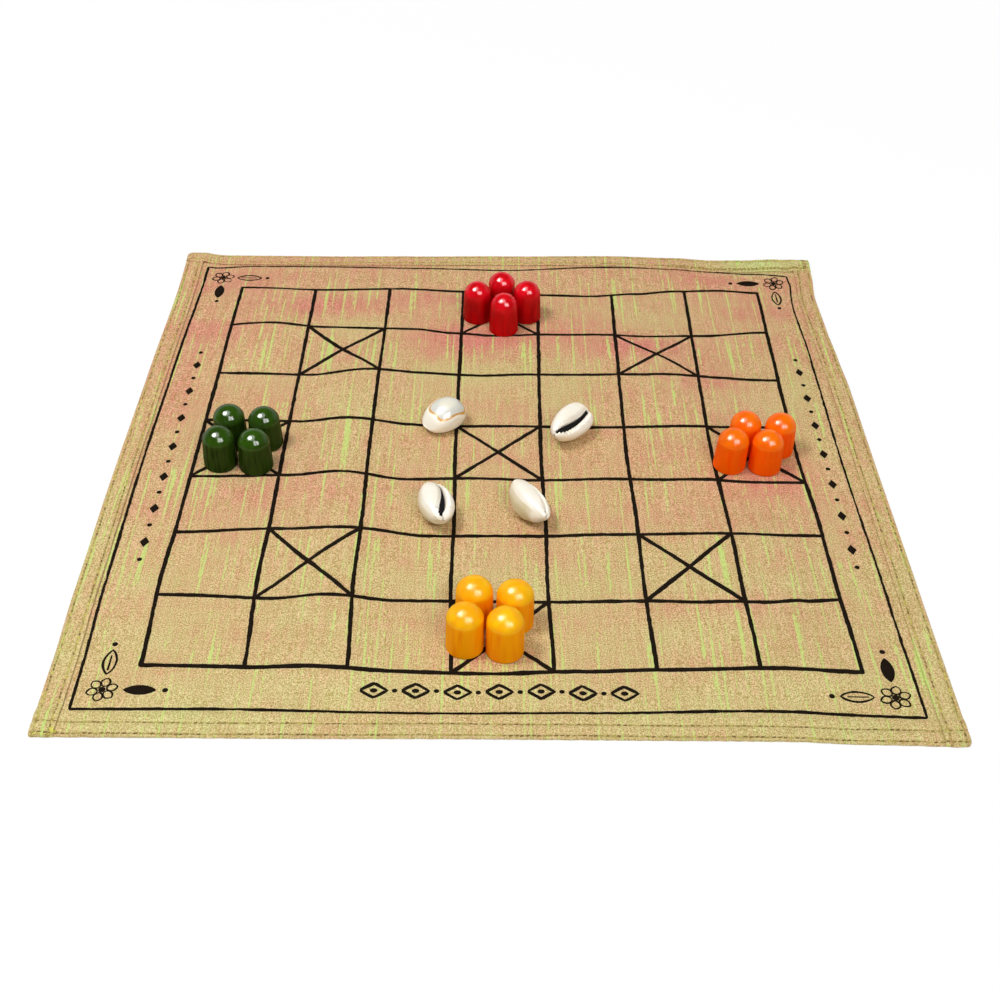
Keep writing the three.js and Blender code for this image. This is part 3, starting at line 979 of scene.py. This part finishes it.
def addPrint():
    cell = cloth["cell"]
    made = []

    def finish(name, stock):
        made.append(makePiece(name, stock.points, stock.faces, inkMaterial, "board", smooth=False))

    stack = printing["stack"]
    squares, draw = Stock(), np.random.RandomState(5)
    end = printing["gridReach"] * cell
    for row, width in printing["rows"].items():
        at = row * cell
        inkLine(squares, [(-end, at), (end, at)], width, draw)
        inkLine(squares, [(at, -end), (at, end)], printing["columns"], draw, stack)
    finish("ink_squares", squares)
    crosses, draw = Stock(), np.random.RandomState(6)
    reach = printing["crossReach"]
    for middle, width in printing["crosses"].items():
        for lean in (-1, 1):
            off = np.array([reach, reach * lean])
            path = [(middle - off) * cell, (middle + off) * cell]
            inkLine(crosses, path, width, draw, stack * (2 + (lean > 0)))
    finish("ink_crosses", crosses)
    border, draw = Stock(), np.random.RandomState(7)
    for name, width in printing["borders"].items():
        upright = name in ("borderLeft", "borderRight")
        stops = printing[name]
        along = np.linspace(stops[0][0], stops[-1][0], 120)
        off = curve(stops, along)
        path = np.column_stack([off, along] if upright else [along, off]) * cell
        inkLine(border, path, width, draw, stack * upright, drift=False)
    finish("ink_border", border)
    finish("ink_ornament", ornament())
    return made


# Plain ornament for the margins: lozenges, dots, leaves and small flowers
trimming = {
    "frontY": -155.0,
    "lozenge": (5.2, 3.9),
    "frontPitch": 16.4,
    "seed": (1.5, 1.2),
    "frontDot": 1.1,
    "diamond": 1.05,
    "sideX": 155.5,
    "sideLozenge": (2.1, 3.3),
    "sideDot": 1.15,
    "sidePitch": 11.4,
    "flowerAt": (155.5, 155.5),
    "flowerReach": 6.4,
    "flowerDot": 1.5,
    "petals": 6,
    "leaf": (6.6, 2.7),
    "leafAway": 15.0,
    "leafDot": 1.2,
    "leafDotAway": 25.0,
}


def loop(reachX, reachY, sides=24, power=2.0):
    angle = np.linspace(0, 2 * math.pi, sides, endpoint=False)
    c, s = np.cos(angle), np.sin(angle)
    x = np.sign(c) * np.abs(c) ** (2 / power) * reachX
    y = np.sign(s) * np.abs(s) ** (2 / power) * reachY
    return np.column_stack([x, y])


def inkDot(stock, centre, radius):
    inkBlot(stock, centre, loop(radius, radius, 16))


def leafLoop(reachX, reachY, turn):
    t = np.linspace(0, 2 * math.pi, 36, endpoint=False)
    x = np.cos(t) * reachX
    y = np.sin(t) * np.abs(np.sin(t)) ** 0.6 * reachY
    return np.column_stack([x * math.cos(turn) - y * math.sin(turn), x * math.sin(turn) + y * math.cos(turn)])


def cornerFlower(stock, sideX, sideY, draw):
    # a small flower with a filled and an open leaf beside it
    centre = np.array(trimming["flowerAt"]) * (sideX, sideY)
    reach = trimming["flowerReach"]
    long = trimming["leaf"][0]
    inkDot(stock, centre, trimming["flowerDot"])
    for p in range(trimming["petals"]):
        turn = p * 2 * math.pi / trimming["petals"] + 0.3
        away = np.array([math.cos(turn), math.sin(turn)])
        petal = centre + away * reach * 0.62 + leafLoop(reach * 0.36, reach * 0.3, turn)
        inkLoop(stock, petal, printing["fine"], draw)
    for alongX in (True, False):
        away = np.array([-sideX, 0.0]) if alongX else np.array([0.0, -sideY])
        at = centre + away * trimming["leafAway"]
        outline = leafLoop(*trimming["leaf"], math.atan2(away[1], away[0]))
        if alongX == (sideX * sideY > 0):
            inkBlot(stock, at, outline)
        else:
            inkLoop(stock, at + outline, 1.0, draw)
            vein = [at - away * long * 0.7, at + away * long * 0.6]
            inkLine(stock, vein, printing["fine"], draw, drift=False)
        inkDot(stock, centre + away * trimming["leafDotAway"], trimming["leafDot"])


def ornament():
    stock, draw = Stock(), np.random.RandomState(8)
    pitch, diamond = trimming["frontPitch"], trimming["diamond"]
    for k in range(-3, 4):
        centre = np.array([k * pitch, trimming["frontY"] + 0.4 * math.sin(k * 1.9)])
        inkLoop(stock, centre + loop(*trimming["lozenge"], 40, diamond), 1.5, draw)
        inkBlot(stock, centre, loop(*trimming["seed"]))
        if k < 3:
            inkDot(stock, centre + (pitch / 2, 0), trimming["frontDot"])
    for side in (-1, 1):
        for k in range(-7, 8):
            centre = np.array([side * trimming["sideX"], k * trimming["sidePitch"]])
            if k % 2:
                inkDot(stock, centre, trimming["sideDot"])
            else:
                inkBlot(stock, centre, loop(*trimming["sideLozenge"], 24, diamond))
    for sideX in (-1, 1):
        for sideY in (-1, 1):
            cornerFlower(stock, sideX, sideY, draw)
    return stock


inkPieces = addPrint()
print("ink printed:", len(inkPieces), "pieces")


# Pawns: turned wood under coloured lacquer. Edge is the rounding where the dome meets the side, soft how
# gradually the dome's colour gives way to the side's, and crease how plainly that edge shows as a painted
# highlight.
# The dome's glow is painted light from above and the side's darker colours are painted shade; pale is a
# painted highlight on the crease and round the foot
pawns = {
    "red": {"taper": 0.6, "dome": 7.0, "edge": 1.2, "soft": 4.0, "creaseHighlight": 0.0,
            "gloss": 0.12, "coat": 0.34,
            "side": srgb(194, 5, 10), "deep": srgb(160, 3, 8),
            "glow": srgb(228, 9, 30), "pale": srgb(206, 34, 38)},
    "green": {"taper": 0.6, "dome": 5.7, "edge": 0.9, "soft": 2.4, "creaseHighlight": 0.25,
              "gloss": 0.1, "coat": 0.34,
              "side": srgb(40, 62, 12), "deep": srgb(18, 28, 7),
              "glow": srgb(46, 80, 10), "pale": srgb(92, 116, 70)},
    "orange": {"taper": 0.45, "dome": 5.7, "edge": 0.7, "soft": 1.8, "creaseHighlight": 0.3,
               "gloss": 0.16, "coat": 0.24,
               "side": srgb(255, 97, 0), "deep": srgb(255, 80, 0),
               "glow": srgb(255, 118, 0), "pale": srgb(255, 150, 50)},
    "yellow": {"taper": 0.25, "dome": 5.7, "edge": 0.7, "soft": 2.0, "creaseHighlight": 0.35,
               "gloss": 0.22, "coat": 0.16,
               "side": srgb(255, 164, 2), "deep": srgb(252, 142, 0),
               "glow": srgb(255, 192, 2), "pale": srgb(255, 205, 70)},
}
turning = {"round": 0.9, "sides": 64, "domeSteps": 18, "roughness": 0.42, "coat": 0.28}


def lacquerPaint(name, settings):
    material, paint, shader = surface(name, {"Specular IOR Level": 0.0, "Coat IOR": 1.46,
                                             "Coat Roughness": settings["gloss"]})
    lot = paint.attribute("lot")
    cap = paint.attribute("cap")
    offset = paint.node("CombineXYZ", {}, {0: lot * 31.0, 1: lot * 17.0, 2: lot * 53.0})
    at = paint.shift(paint.millimetres(), offset)
    grain = paint.noise(at, (0.5, 0.5, 0.05), 2.0, 0.5)
    cloud = paint.noise(at, (0.16, 0.16, 0.12), 2.0)
    hair = paint.noise(at, (2.2, 2.2, 0.12), 2.0, 0.6)
    # the side's colours are painted shade, darker than the dome; deep comes through in the grain at random
    side = paint.mix(paint.step(grain + (lot - 5.0) * 0.02, 0.36, 0.74), settings["side"], settings["deep"])
    dome = paint.mix(paint.step(cloud, 0.36, 0.66) * 0.7, settings["glow"], settings["side"])
    # painted light: the lit dome's colour over the shaded side's, where cap is high
    colour = paint.mix(cap, side, dome)
    colour = paint.mix(paint.step(hair, 0.6, 0.85) * 0.1, colour, settings["deep"])
    # painted highlight: pale along the crease and round the foot, where rim is high
    colour = paint.mix(paint.attribute("rim") * paint.step(cloud, 0.3, 0.55), colour, settings["pale"])
    paint.feed(shader.inputs["Coat Weight"], turning["coat"] + cap * settings["coat"])
    rings = paint.noise(at, (0.1, 0.1, 2.0), 2.0)
    relief = hair * 0.2 + rings * 0.6 + cloud * 1.2
    paint.finish(shader, colour, turning["roughness"] + (hair - 0.5) * 0.16, relief, 0.08, 0.3)
    return material


def pawnProfile(settings, foot, height):
    # radius and height from the foot up: a rounded foot, a tapered side, a rounded edge and a cap of a sphere
    curl, edge = turning["round"], settings["edge"]
    shoulder = foot - settings["taper"]
    top = height - settings["dome"]
    sphere = (shoulder ** 2 + settings["dome"] ** 2) / (2 * settings["dome"])
    profile = [(foot - curl, 0.0)]
    for k in range(1, 6):
        angle = k / 5 * math.pi / 2
        profile.append((foot - curl + curl * math.sin(angle), curl - curl * math.cos(angle)))
    for k in range(1, 11):
        t = k / 10
        radius = foot + (shoulder - foot) * t + 0.05 * math.sin(math.pi * t)
        profile.append((radius, curl + (top - edge - curl) * t))
    widest = math.asin(min(1.0, shoulder / sphere)) - edge / sphere
    dome = []
    for k in range(turning["domeSteps"]):
        angle = widest * (1 - k / turning["domeSteps"])
        dome.append((sphere * math.sin(angle), height - sphere * (1 - math.cos(angle))))
    low, corner, high = np.array(profile[-1]), np.array([shoulder, top]), np.array(dome[0])
    for t in (0.2, 0.4, 0.6, 0.8):
        profile.append(tuple(low * (1 - t) ** 2 + corner * 2 * t * (1 - t) + high * t * t))
    return profile + dome


def pawnPoints(profile, height, phase):
    # rings of a hand-turned pawn, a little out of round, between its foot and its top
    sides = turning["sides"]
    angle = np.arange(sides) / sides * 2 * math.pi
    points = [(0.0, 0.0, 0.0)]
    for radius, z in profile:
        wobble = 1 + 0.004 * np.sin(2 * angle + phase[0]) + 0.003 * np.sin(3 * angle + phase[1] + z * 0.1)
        around = radius * wobble
        points.extend(np.column_stack([around * np.cos(angle), around * np.sin(angle), np.full(sides, z)]))
    points.append((0.0, 0.0, height))
    return np.array(points, dtype=float)


def addPawn(node, name, settings, material, draw):
    foot, axis, reach, height = footings[node]
    phase = draw.uniform(0, 2 * math.pi, 3)
    profile = pawnProfile(settings, reach, height)
    points = pawnPoints(profile, height, phase)
    lean = Vector((0, 0, 1)).rotation_difference(Vector(axis)).to_matrix().to_4x4()
    placed = Matrix.Translation(Vector(foot) * mm) @ lean @ Matrix.Rotation(phase[2], 4, "Z")
    faces = closedNet(len(profile), turning["sides"])
    piece = makePiece(name, points, faces, material, node, placed=placed)
    addAttribute(piece, "lot", np.full(len(points), float(draw.uniform(0, 10))))
    heights = points[:, 2]
    above = heights - height + settings["dome"]
    # cap: how far a point lies in the dome's painted light rather than the side's painted shade
    addAttribute(piece, "cap", ease((above + settings["soft"]) / (2 * settings["soft"])))
    # rim: where the painted highlight lies, along the crease and round the foot
    creaseHighlight = settings["creaseHighlight"] * np.exp(-(((above - 0.1) / 0.3) ** 2))
    addAttribute(piece, "rim", creaseHighlight + 0.4 * np.exp(-(((heights - 0.35) / 0.3) ** 2)))
    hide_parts(node)


def addPawns():
    made = 0
    for colour in colours:
        slot = f"{colour}_lacquer"
        material = lacquerPaint(slot, pawns[colour])
        for i in (1, 2, 3, 4):
            draw = np.random.RandomState(100 + made)
            addPawn(f"{colour}_pawn_{i}", f"pawn_{colour}_{i}", pawns[colour], material, draw)
            made += 1
    return made


print("pawns turned:", addPawns())


# Cowries: a glossy egg-shaped back, a callus round it and a toothed mouth along the base
cowrie = {
    "length": 25.0,
    "width": 17.5,
    "height": 12.5,
    "margin": 0.26,
    "whorlBulge": 1.8,
    "lipBulge": 0.8,
    "rings": 150,
    "backSteps": 48,
    "baseSteps": 130,
    "slitOffset": -0.6,
    "slitBow": 3.0,
    "slitReach": 0.94,
    "slitWide": 2.05,
    "slitNarrow": 1.15,
    "slitDeep": 4.0,
    "whorlRoll": (1.5, 1.7),
    "lipRoll": (0.7, 0.7),
    "toothPitch": 1.75,
    "toothLip": 0.95,
    "toothBody": 0.55,
    "toothRidge": 0.85,
    "notch": 1.0,
    "endRise": 0.22,
    # painted shade: shares of the near black inside colour at the end notches and in the canals
    "endShade": 0.42,
    "canalShade": 0.6,
    "ring": (8.3, 6.4),
    "ringTurn": -2,
    "ringPower": 3.4,
    "ringAt": (0.8, -0.4),
    "ivory": srgb(254, 248, 234),
    "creamAndBounceLight": srgb(250, 236, 208),
    "grey": srgb(214, 216, 208),
    "pearl": srgb(236, 232, 212),
    "gold": srgb(216, 158, 52),
    "oliveAndBounceLight": srgb(196, 176, 96),
    # inside: near black painted shade in the slit and the end notches
    "inside": srgb(16, 10, 9),
    # heading and tip in degrees, size and shape as in the solids, gape of the slit and yellow of the back,
    # which is partly the shell's own olive and partly painted bounce light from the cloth it lies on
    "lies": [
        {"heading": 43, "tip": 8, "long": 0.97, "slim": 0.97,
         "egg": 0.0, "point": -0.1, "skew": 0.0, "gape": 1.0, "yellow": 0.0},
        {"heading": 51, "tip": 210, "long": 1.08, "slim": 0.9,
         "egg": 0.22, "point": 0.3, "skew": -0.6, "gape": 1.0, "yellow": 0.4},
        {"heading": 103, "tip": 200, "long": 1.04, "slim": 0.9,
         "egg": 0.12, "point": 0.12, "skew": 1.2, "gape": 0.95, "yellow": 0.5},
        {"heading": 115, "tip": 216, "long": 1.12, "slim": 0.86,
         "egg": 0.2, "point": 0.3, "skew": 0.0, "gape": 0.3, "yellow": 0.65},
    ],
}


def shellPaint():
    material, paint, shader = surface("cowrie_shell", {"Specular IOR Level": 0.15, "Coat Weight": 0.3,
                                                       "Coat Roughness": 0.12})
    at = paint.millimetres()
    mouth = paint.attribute("mouth")
    ring = paint.attribute("ring")
    low = paint.attribute("low")
    yellow = paint.attribute("yellow")
    cloud = paint.noise(at, (0.16, 0.16, 0.16), 3.0)
    fleck = paint.noise(at, (0.7, 0.7, 0.7), 3.0, 0.6)
    # cream is partly the shell's own tone at random and partly painted bounce light from the cloth, more of
    # it low on the sides
    colour = paint.mix(paint.step(cloud + low * 0.35, 0.5, 0.95) * 0.6, cowrie["ivory"], cowrie["creamAndBounceLight"])
    edge = ring + (cloud - 0.5) * 0.12 + (fleck - 0.5) * 0.07
    pale = paint.mix(paint.step(edge + (cloud - 0.5) * 0.9, 0.25, 0.7), cowrie["pearl"], cowrie["grey"])
    colour = paint.mix(paint.step(edge, 1.0, 0.9) * (1 - yellow) * 0.85, colour, pale)
    # olive on the back where it lies towards the cloth: partly its own colour, partly painted bounce light
    colour = paint.mix(paint.step(edge, 1.3, 0.95) * yellow * 0.9, colour, cowrie["oliveAndBounceLight"])
    line = paint.step(edge, 0.91, 0.96) * paint.step(edge, 1.07, 1.01) * paint.step(yellow, 0.3, 0.0)
    colour = paint.mix(line * (0.7 + fleck * 0.5), colour, cowrie["gold"])
    # painted shade: near black in the slit and the end notches, where mouth is high
    colour = paint.mix(paint.step(mouth, 0.25, 0.7), colour, cowrie["inside"])
    paint.finish(shader, colour, 0.24 + fleck * 0.12 + mouth * 0.4, cloud * 0.8 + fleck * 0.3, 0.12, 0.4)
    return material


def backPoint(u, i, wide, waist, tall, lie):
    # one point of the back: place, how far out it lies by the ring, and how low on its side it lies, which
    # sets the painted bounce light there
    c = cowrie
    full = math.sqrt(1 - u * u)
    angle = i / c["backSteps"] * math.pi
    x = u * c["length"] * lie["long"] / 2
    y = wide * math.copysign(abs(math.cos(angle)) ** 0.92, math.cos(angle))
    z = waist + (max(tall, waist) - waist) * math.sin(angle) ** 0.92
    turn, power = math.radians(c["ringTurn"]), c["ringPower"]
    offX, offY = x - c["ringAt"][0], y - c["ringAt"][1]
    along = offX * math.cos(turn) + offY * math.sin(turn)
    across = offY * math.cos(turn) - offX * math.sin(turn)
    around = (abs(along / c["ring"][0]) ** power + abs(across / c["ring"][1]) ** power) ** (1 / power)
    z += full * (0.4 * math.exp(-(((around - 1.16) / 0.12) ** 2)) + 0.2 * float(ease((0.98 - around) / 0.35)))
    return (x, y, z), around, 0.8 * (1 - math.sin(angle)) ** 2


def basePoint(u, i, wide, waist, rise, lie):
    # one point of the base: place, and how deep it lies in the mouth, which sets how much painted shade it
    # takes
    c = cowrie
    full = math.sqrt(1 - u * u)
    x = u * c["length"] * lie["long"] / 2
    slitAt = c["slitOffset"] + c["slitBow"] * (1 - ((u - 0.3) / 1.15) ** 2) + lie["skew"] * u
    slitAt = min(max(slitAt, -0.25 * wide), 0.5 * wide)
    p = 1 - 2 * i / c["baseSteps"]
    pull = -p * (0.3 + 0.7 * p * p)
    y = slitAt + pull * (wide - slitAt if pull > 0 else wide + slitAt)
    away = y - slitAt
    onLip = away > 0
    whorl = float(ease((0.7 - away) / 1.4))
    bulge = c["lipBulge"] + (c["whorlBulge"] - c["lipBulge"]) * whorl
    power = 2.5 - 0.45 * whorl
    z = waist - (waist - rise + bulge * full) * max(0.0, 1 - abs(y / wide) ** power) ** (1 / power)
    fade = float(ease((c["slitReach"] - abs(u)) / 0.1))
    opening = c["slitNarrow"] + (c["slitWide"] - c["slitNarrow"]) * float(ease((0.7 - u) / 1.3))
    opening *= lie["gape"] * (0.2 + 0.8 * float(ease((u + 1) / 0.42)))
    tooth = 0.5 + 0.5 * math.cos(2 * math.pi * (x + 0.2 * away) / c["toothPitch"] + (1.6 if onLip else 0))
    bite = c["toothLip"] if onLip else c["toothBody"] * float(ease((-0.35 - u) / 0.3))
    edge = max(0.12, opening - bite * tooth * min(1.0, opening))
    slit = fade * float(1 - ease((abs(away) - edge * 0.85) / 0.45))
    off = max(0.0, abs(away) - edge)
    roll, reach = c["lipRoll"] if onLip else c["whorlRoll"]
    inward = roll * math.exp(-((off / reach) ** 2)) * (0.35 + 0.65 * fade)
    ridge = bite * c["toothRidge"] * (tooth - 0.5) * math.exp(-(((off - 0.5) / 1.0) ** 2)) * fade
    z += full * ((inward - ridge) * (1 - slit) + slit * (c["slitDeep"] + inward))
    end = float(ease((abs(u) - 0.9) / 0.09)) * math.exp(-((away / 0.8) ** 2))
    x -= math.copysign(c["notch"], u) * end
    return (x, y, z), max(slit, c["endShade"] * end)


def shellNet(lie):
    # points of one shell, mouth down, and what its paint needs to know about them
    c = cowrie
    tip = c["length"] * lie["long"] / 2 - c["notch"]
    points, mouth, ring, low = [], [], [], []

    def put(place, deep, around, under):
        points.append(place)
        mouth.append(deep)
        ring.append(around)
        low.append(under)

    endHeight = c["height"] * c["endRise"]
    put((-tip, 0, endHeight), c["endShade"], 2.0, 0.3)
    for k in range(1, c["rings"]):
        u = -math.cos(k / c["rings"] * math.pi)
        full = math.sqrt(1 - u * u)
        wide = c["width"] * lie["slim"] / 2 * full ** (1 - lie["point"] * u) * (1 + lie["egg"] * u)
        tall = c["height"] * full ** 1.05 * (1 + 0.12 * u) * 0.985
        rise = endHeight * (1 - full)
        waist = rise + c["height"] * c["margin"] * full
        for i in range(c["backSteps"]):
            place, around, under = backPoint(u, i, wide, waist, tall, lie)
            put(place, c["canalShade"] * float(ease((abs(u) - 0.984) / 0.012)), around, under)
        for i in range(c["baseSteps"]):
            place, deep = basePoint(u, i, wide, waist, rise, lie)
            put(place, deep, 2.0, 0.3)
    put((tip, 0, endHeight), c["endShade"], 2.0, 0.3)
    faces = closedNet(c["rings"] - 1, c["backSteps"] + c["baseSteps"])
    return np.array(points), faces, {"mouth": mouth, "ring": ring, "low": low}


def addShells():
    material = shellPaint()
    for node, lie in zip(shellNames, cowrie["lies"]):
        points, faces, marks = shellNet(lie)
        heading, tip = math.radians(lie["heading"]), math.radians(lie["tip"])
        turn = Matrix.Rotation(heading, 4, "Z") @ Matrix.Rotation(tip, 4, "X")
        turned = points @ np.array(turn.to_3x3()).T
        boxLow, boxHigh = shellBoxes[node]
        middle = (turned.min(0) + turned.max(0)) / 2
        move = (boxLow + boxHigh) / 2 - middle
        move[2] = boxLow[2] - turned[:, 2].min()
        placed = Matrix.Translation(Vector(move) * mm) @ turn
        piece = makePiece("shell_" + node[-1], points, faces, material, node, placed=placed)
        for mark, values in marks.items():
            addAttribute(piece, mark, values)
        addAttribute(piece, "yellow", np.full(len(points), lie["yellow"]))
        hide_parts(node)


addShells()
print("cowries thrown")

[p for k, p in clothPieces.items() if k != "ground"] + stitchPieces + inkPieces


# Studio: white floor and backdrop, soft light from above, a round lamp and a window
studio = {
    "floor": srgb(246, 246, 246),
    "floorGlow": 1.03,
    "floorShare": 0.86,
    "floorFade": (450.0, 1300.0),
    "floorSize": 6000.0,
    "floorDrop": 0.2,
    "ambient": 0.22,
    "skylight": 0.37,
    "glossDark": 0.06,
    "glossFloor": 0.3,
    "wall": 1.0,
    "lamp": {"place": (-0.52, -0.14, 1.08), "power": 6.2, "size": 0.3},
    "window": {"place": (0.70, -1.26, 1.36), "power": 9.6, "size": 0.5},
    # seen in glossy things only: place, brightness and size
    "softboxes": [((-0.51, -0.137, 1.06), 42.0, 0.58), ((-0.28, -0.14, 1.14), 10.0, 0.9)],
    "panes": [((0.36, -1.32, 1.36), 20.0, 0.52, 1.1), ((1.02, -1.20, 1.32), 24.0, 0.6, 0.95)],
}


def addLamp(name, shape, place, power, sizeX, sizeY=None, glossOnly=False):
    data = bpy.data.lights.new(name, "AREA")
    data.shape = shape
    data.energy = power
    data.size = sizeX
    if sizeY:
        data.size_y = sizeY
    lamp = bpy.data.objects.new(name, data)
    lamp.visible_glossy = glossOnly
    lamp.visible_diffuse = not glossOnly
    bpy.context.scene.collection.objects.link(lamp)
    aim = Vector((0, 0, 0)) - Vector(place)
    turn = aim.to_track_quat("-Z", "Y").to_matrix().to_4x4()
    lamp.matrix_world = Matrix.Translation(Vector(place)) @ turn


def rayKinds(paint):
    # rays that see a thing straight on or through glass, and rays that see it mirrored
    kinds = paint.node("LightPath").socket.node.outputs
    names = ("Camera", "Transmission", "Glossy")
    straight, through, glossy = [Wire(paint, kinds[f"Is {name} Ray"]) for name in names]
    return paint.sum("MAXIMUM", straight, through), glossy


def addFloor():
    floorMaterial, paint, shader = surface("studio_floor", {"Base Color": studio["floor"], "Roughness": 0.9,
                                                            "Specular IOR Level": 0.0})
    straight, glossy = rayKinds(paint)
    seen = paint.sum("MAXIMUM", straight, glossy * studio["glossFloor"])
    glow = paint.node("Emission", {}, {"Color": (1, 1, 1, 1), "Strength": studio["floorGlow"]})
    body = Wire(paint, shader.outputs[0])
    away = paint.node("VectorMath", {"operation": "LENGTH"}, {0: paint.millimetres()}, 1)
    share = studio["floorShare"] + paint.step(away, *studio["floorFade"]) * (1 - studio["floorShare"])
    both = paint.node("MixShader", {}, {0: seen * share, 1: body, 2: glow})
    paint.feed(floorMaterial.node_tree.nodes["Material Output"].inputs[0], both)
    size, low = studio["floorSize"] * mm, -studio["floorDrop"] * mm
    mesh = bpy.data.meshes.new("floor")
    corners = [(x * size, y * size, low) for x, y in ((-1, -1), (1, -1), (1, 1), (-1, 1))]
    mesh.from_pydata(corners, [], [(0, 1, 2, 3)])
    mesh.materials.append(floorMaterial)
    floor = bpy.data.objects.new("floor", mesh)
    bpy.context.scene.collection.objects.link(floor)


def addWorld():
    world = bpy.data.worlds.new("studio")
    bpy.context.scene.world = world
    world.use_nodes = True
    paint = Paint(world.node_tree)
    white, glossy = rayKinds(paint)
    _, backward, upward = paint.parts(paint.node("TexCoord", {}, {}, 0))
    soft = studio["ambient"] + paint.step(upward, 0.05, 0.9) * studio["skylight"]
    back = paint.step(backward, -0.1, 0.5) * paint.step(upward, 0.65, 0.3)
    shine = studio["glossDark"] + (studio["wall"] - studio["glossDark"]) * back
    strength = soft * (1 - glossy) + shine * glossy
    strength = strength * (1 - white) + white
    background = world.node_tree.nodes["Background"]
    background.inputs["Color"].default_value = (1, 1, 1, 1)
    paint.feed(background.inputs["Strength"], strength)


def addLamps():
    for name in ("lamp", "window"):
        lamp = studio[name]
        addLamp("lamp_" + name, "DISK", lamp["place"], lamp["power"], lamp["size"])
    for i, (place, bright, size) in enumerate(studio["softboxes"]):
        power = bright * math.pi ** 2 * size ** 2 / 4
        addLamp(f"gloss_softbox_{i + 1}", "DISK", place, power, size, glossOnly=True)
    for i, (place, bright, sizeX, sizeY) in enumerate(studio["panes"]):
        power = bright * math.pi * sizeX * sizeY
        addLamp(f"gloss_pane_{i + 1}", "RECTANGLE", place, power, sizeX, sizeY, True)


addFloor()
addWorld()
addLamps()
bpy.context.scene.view_settings.view_transform = "Standard"
bpy.context.view_layer.update()
print("studio lit")
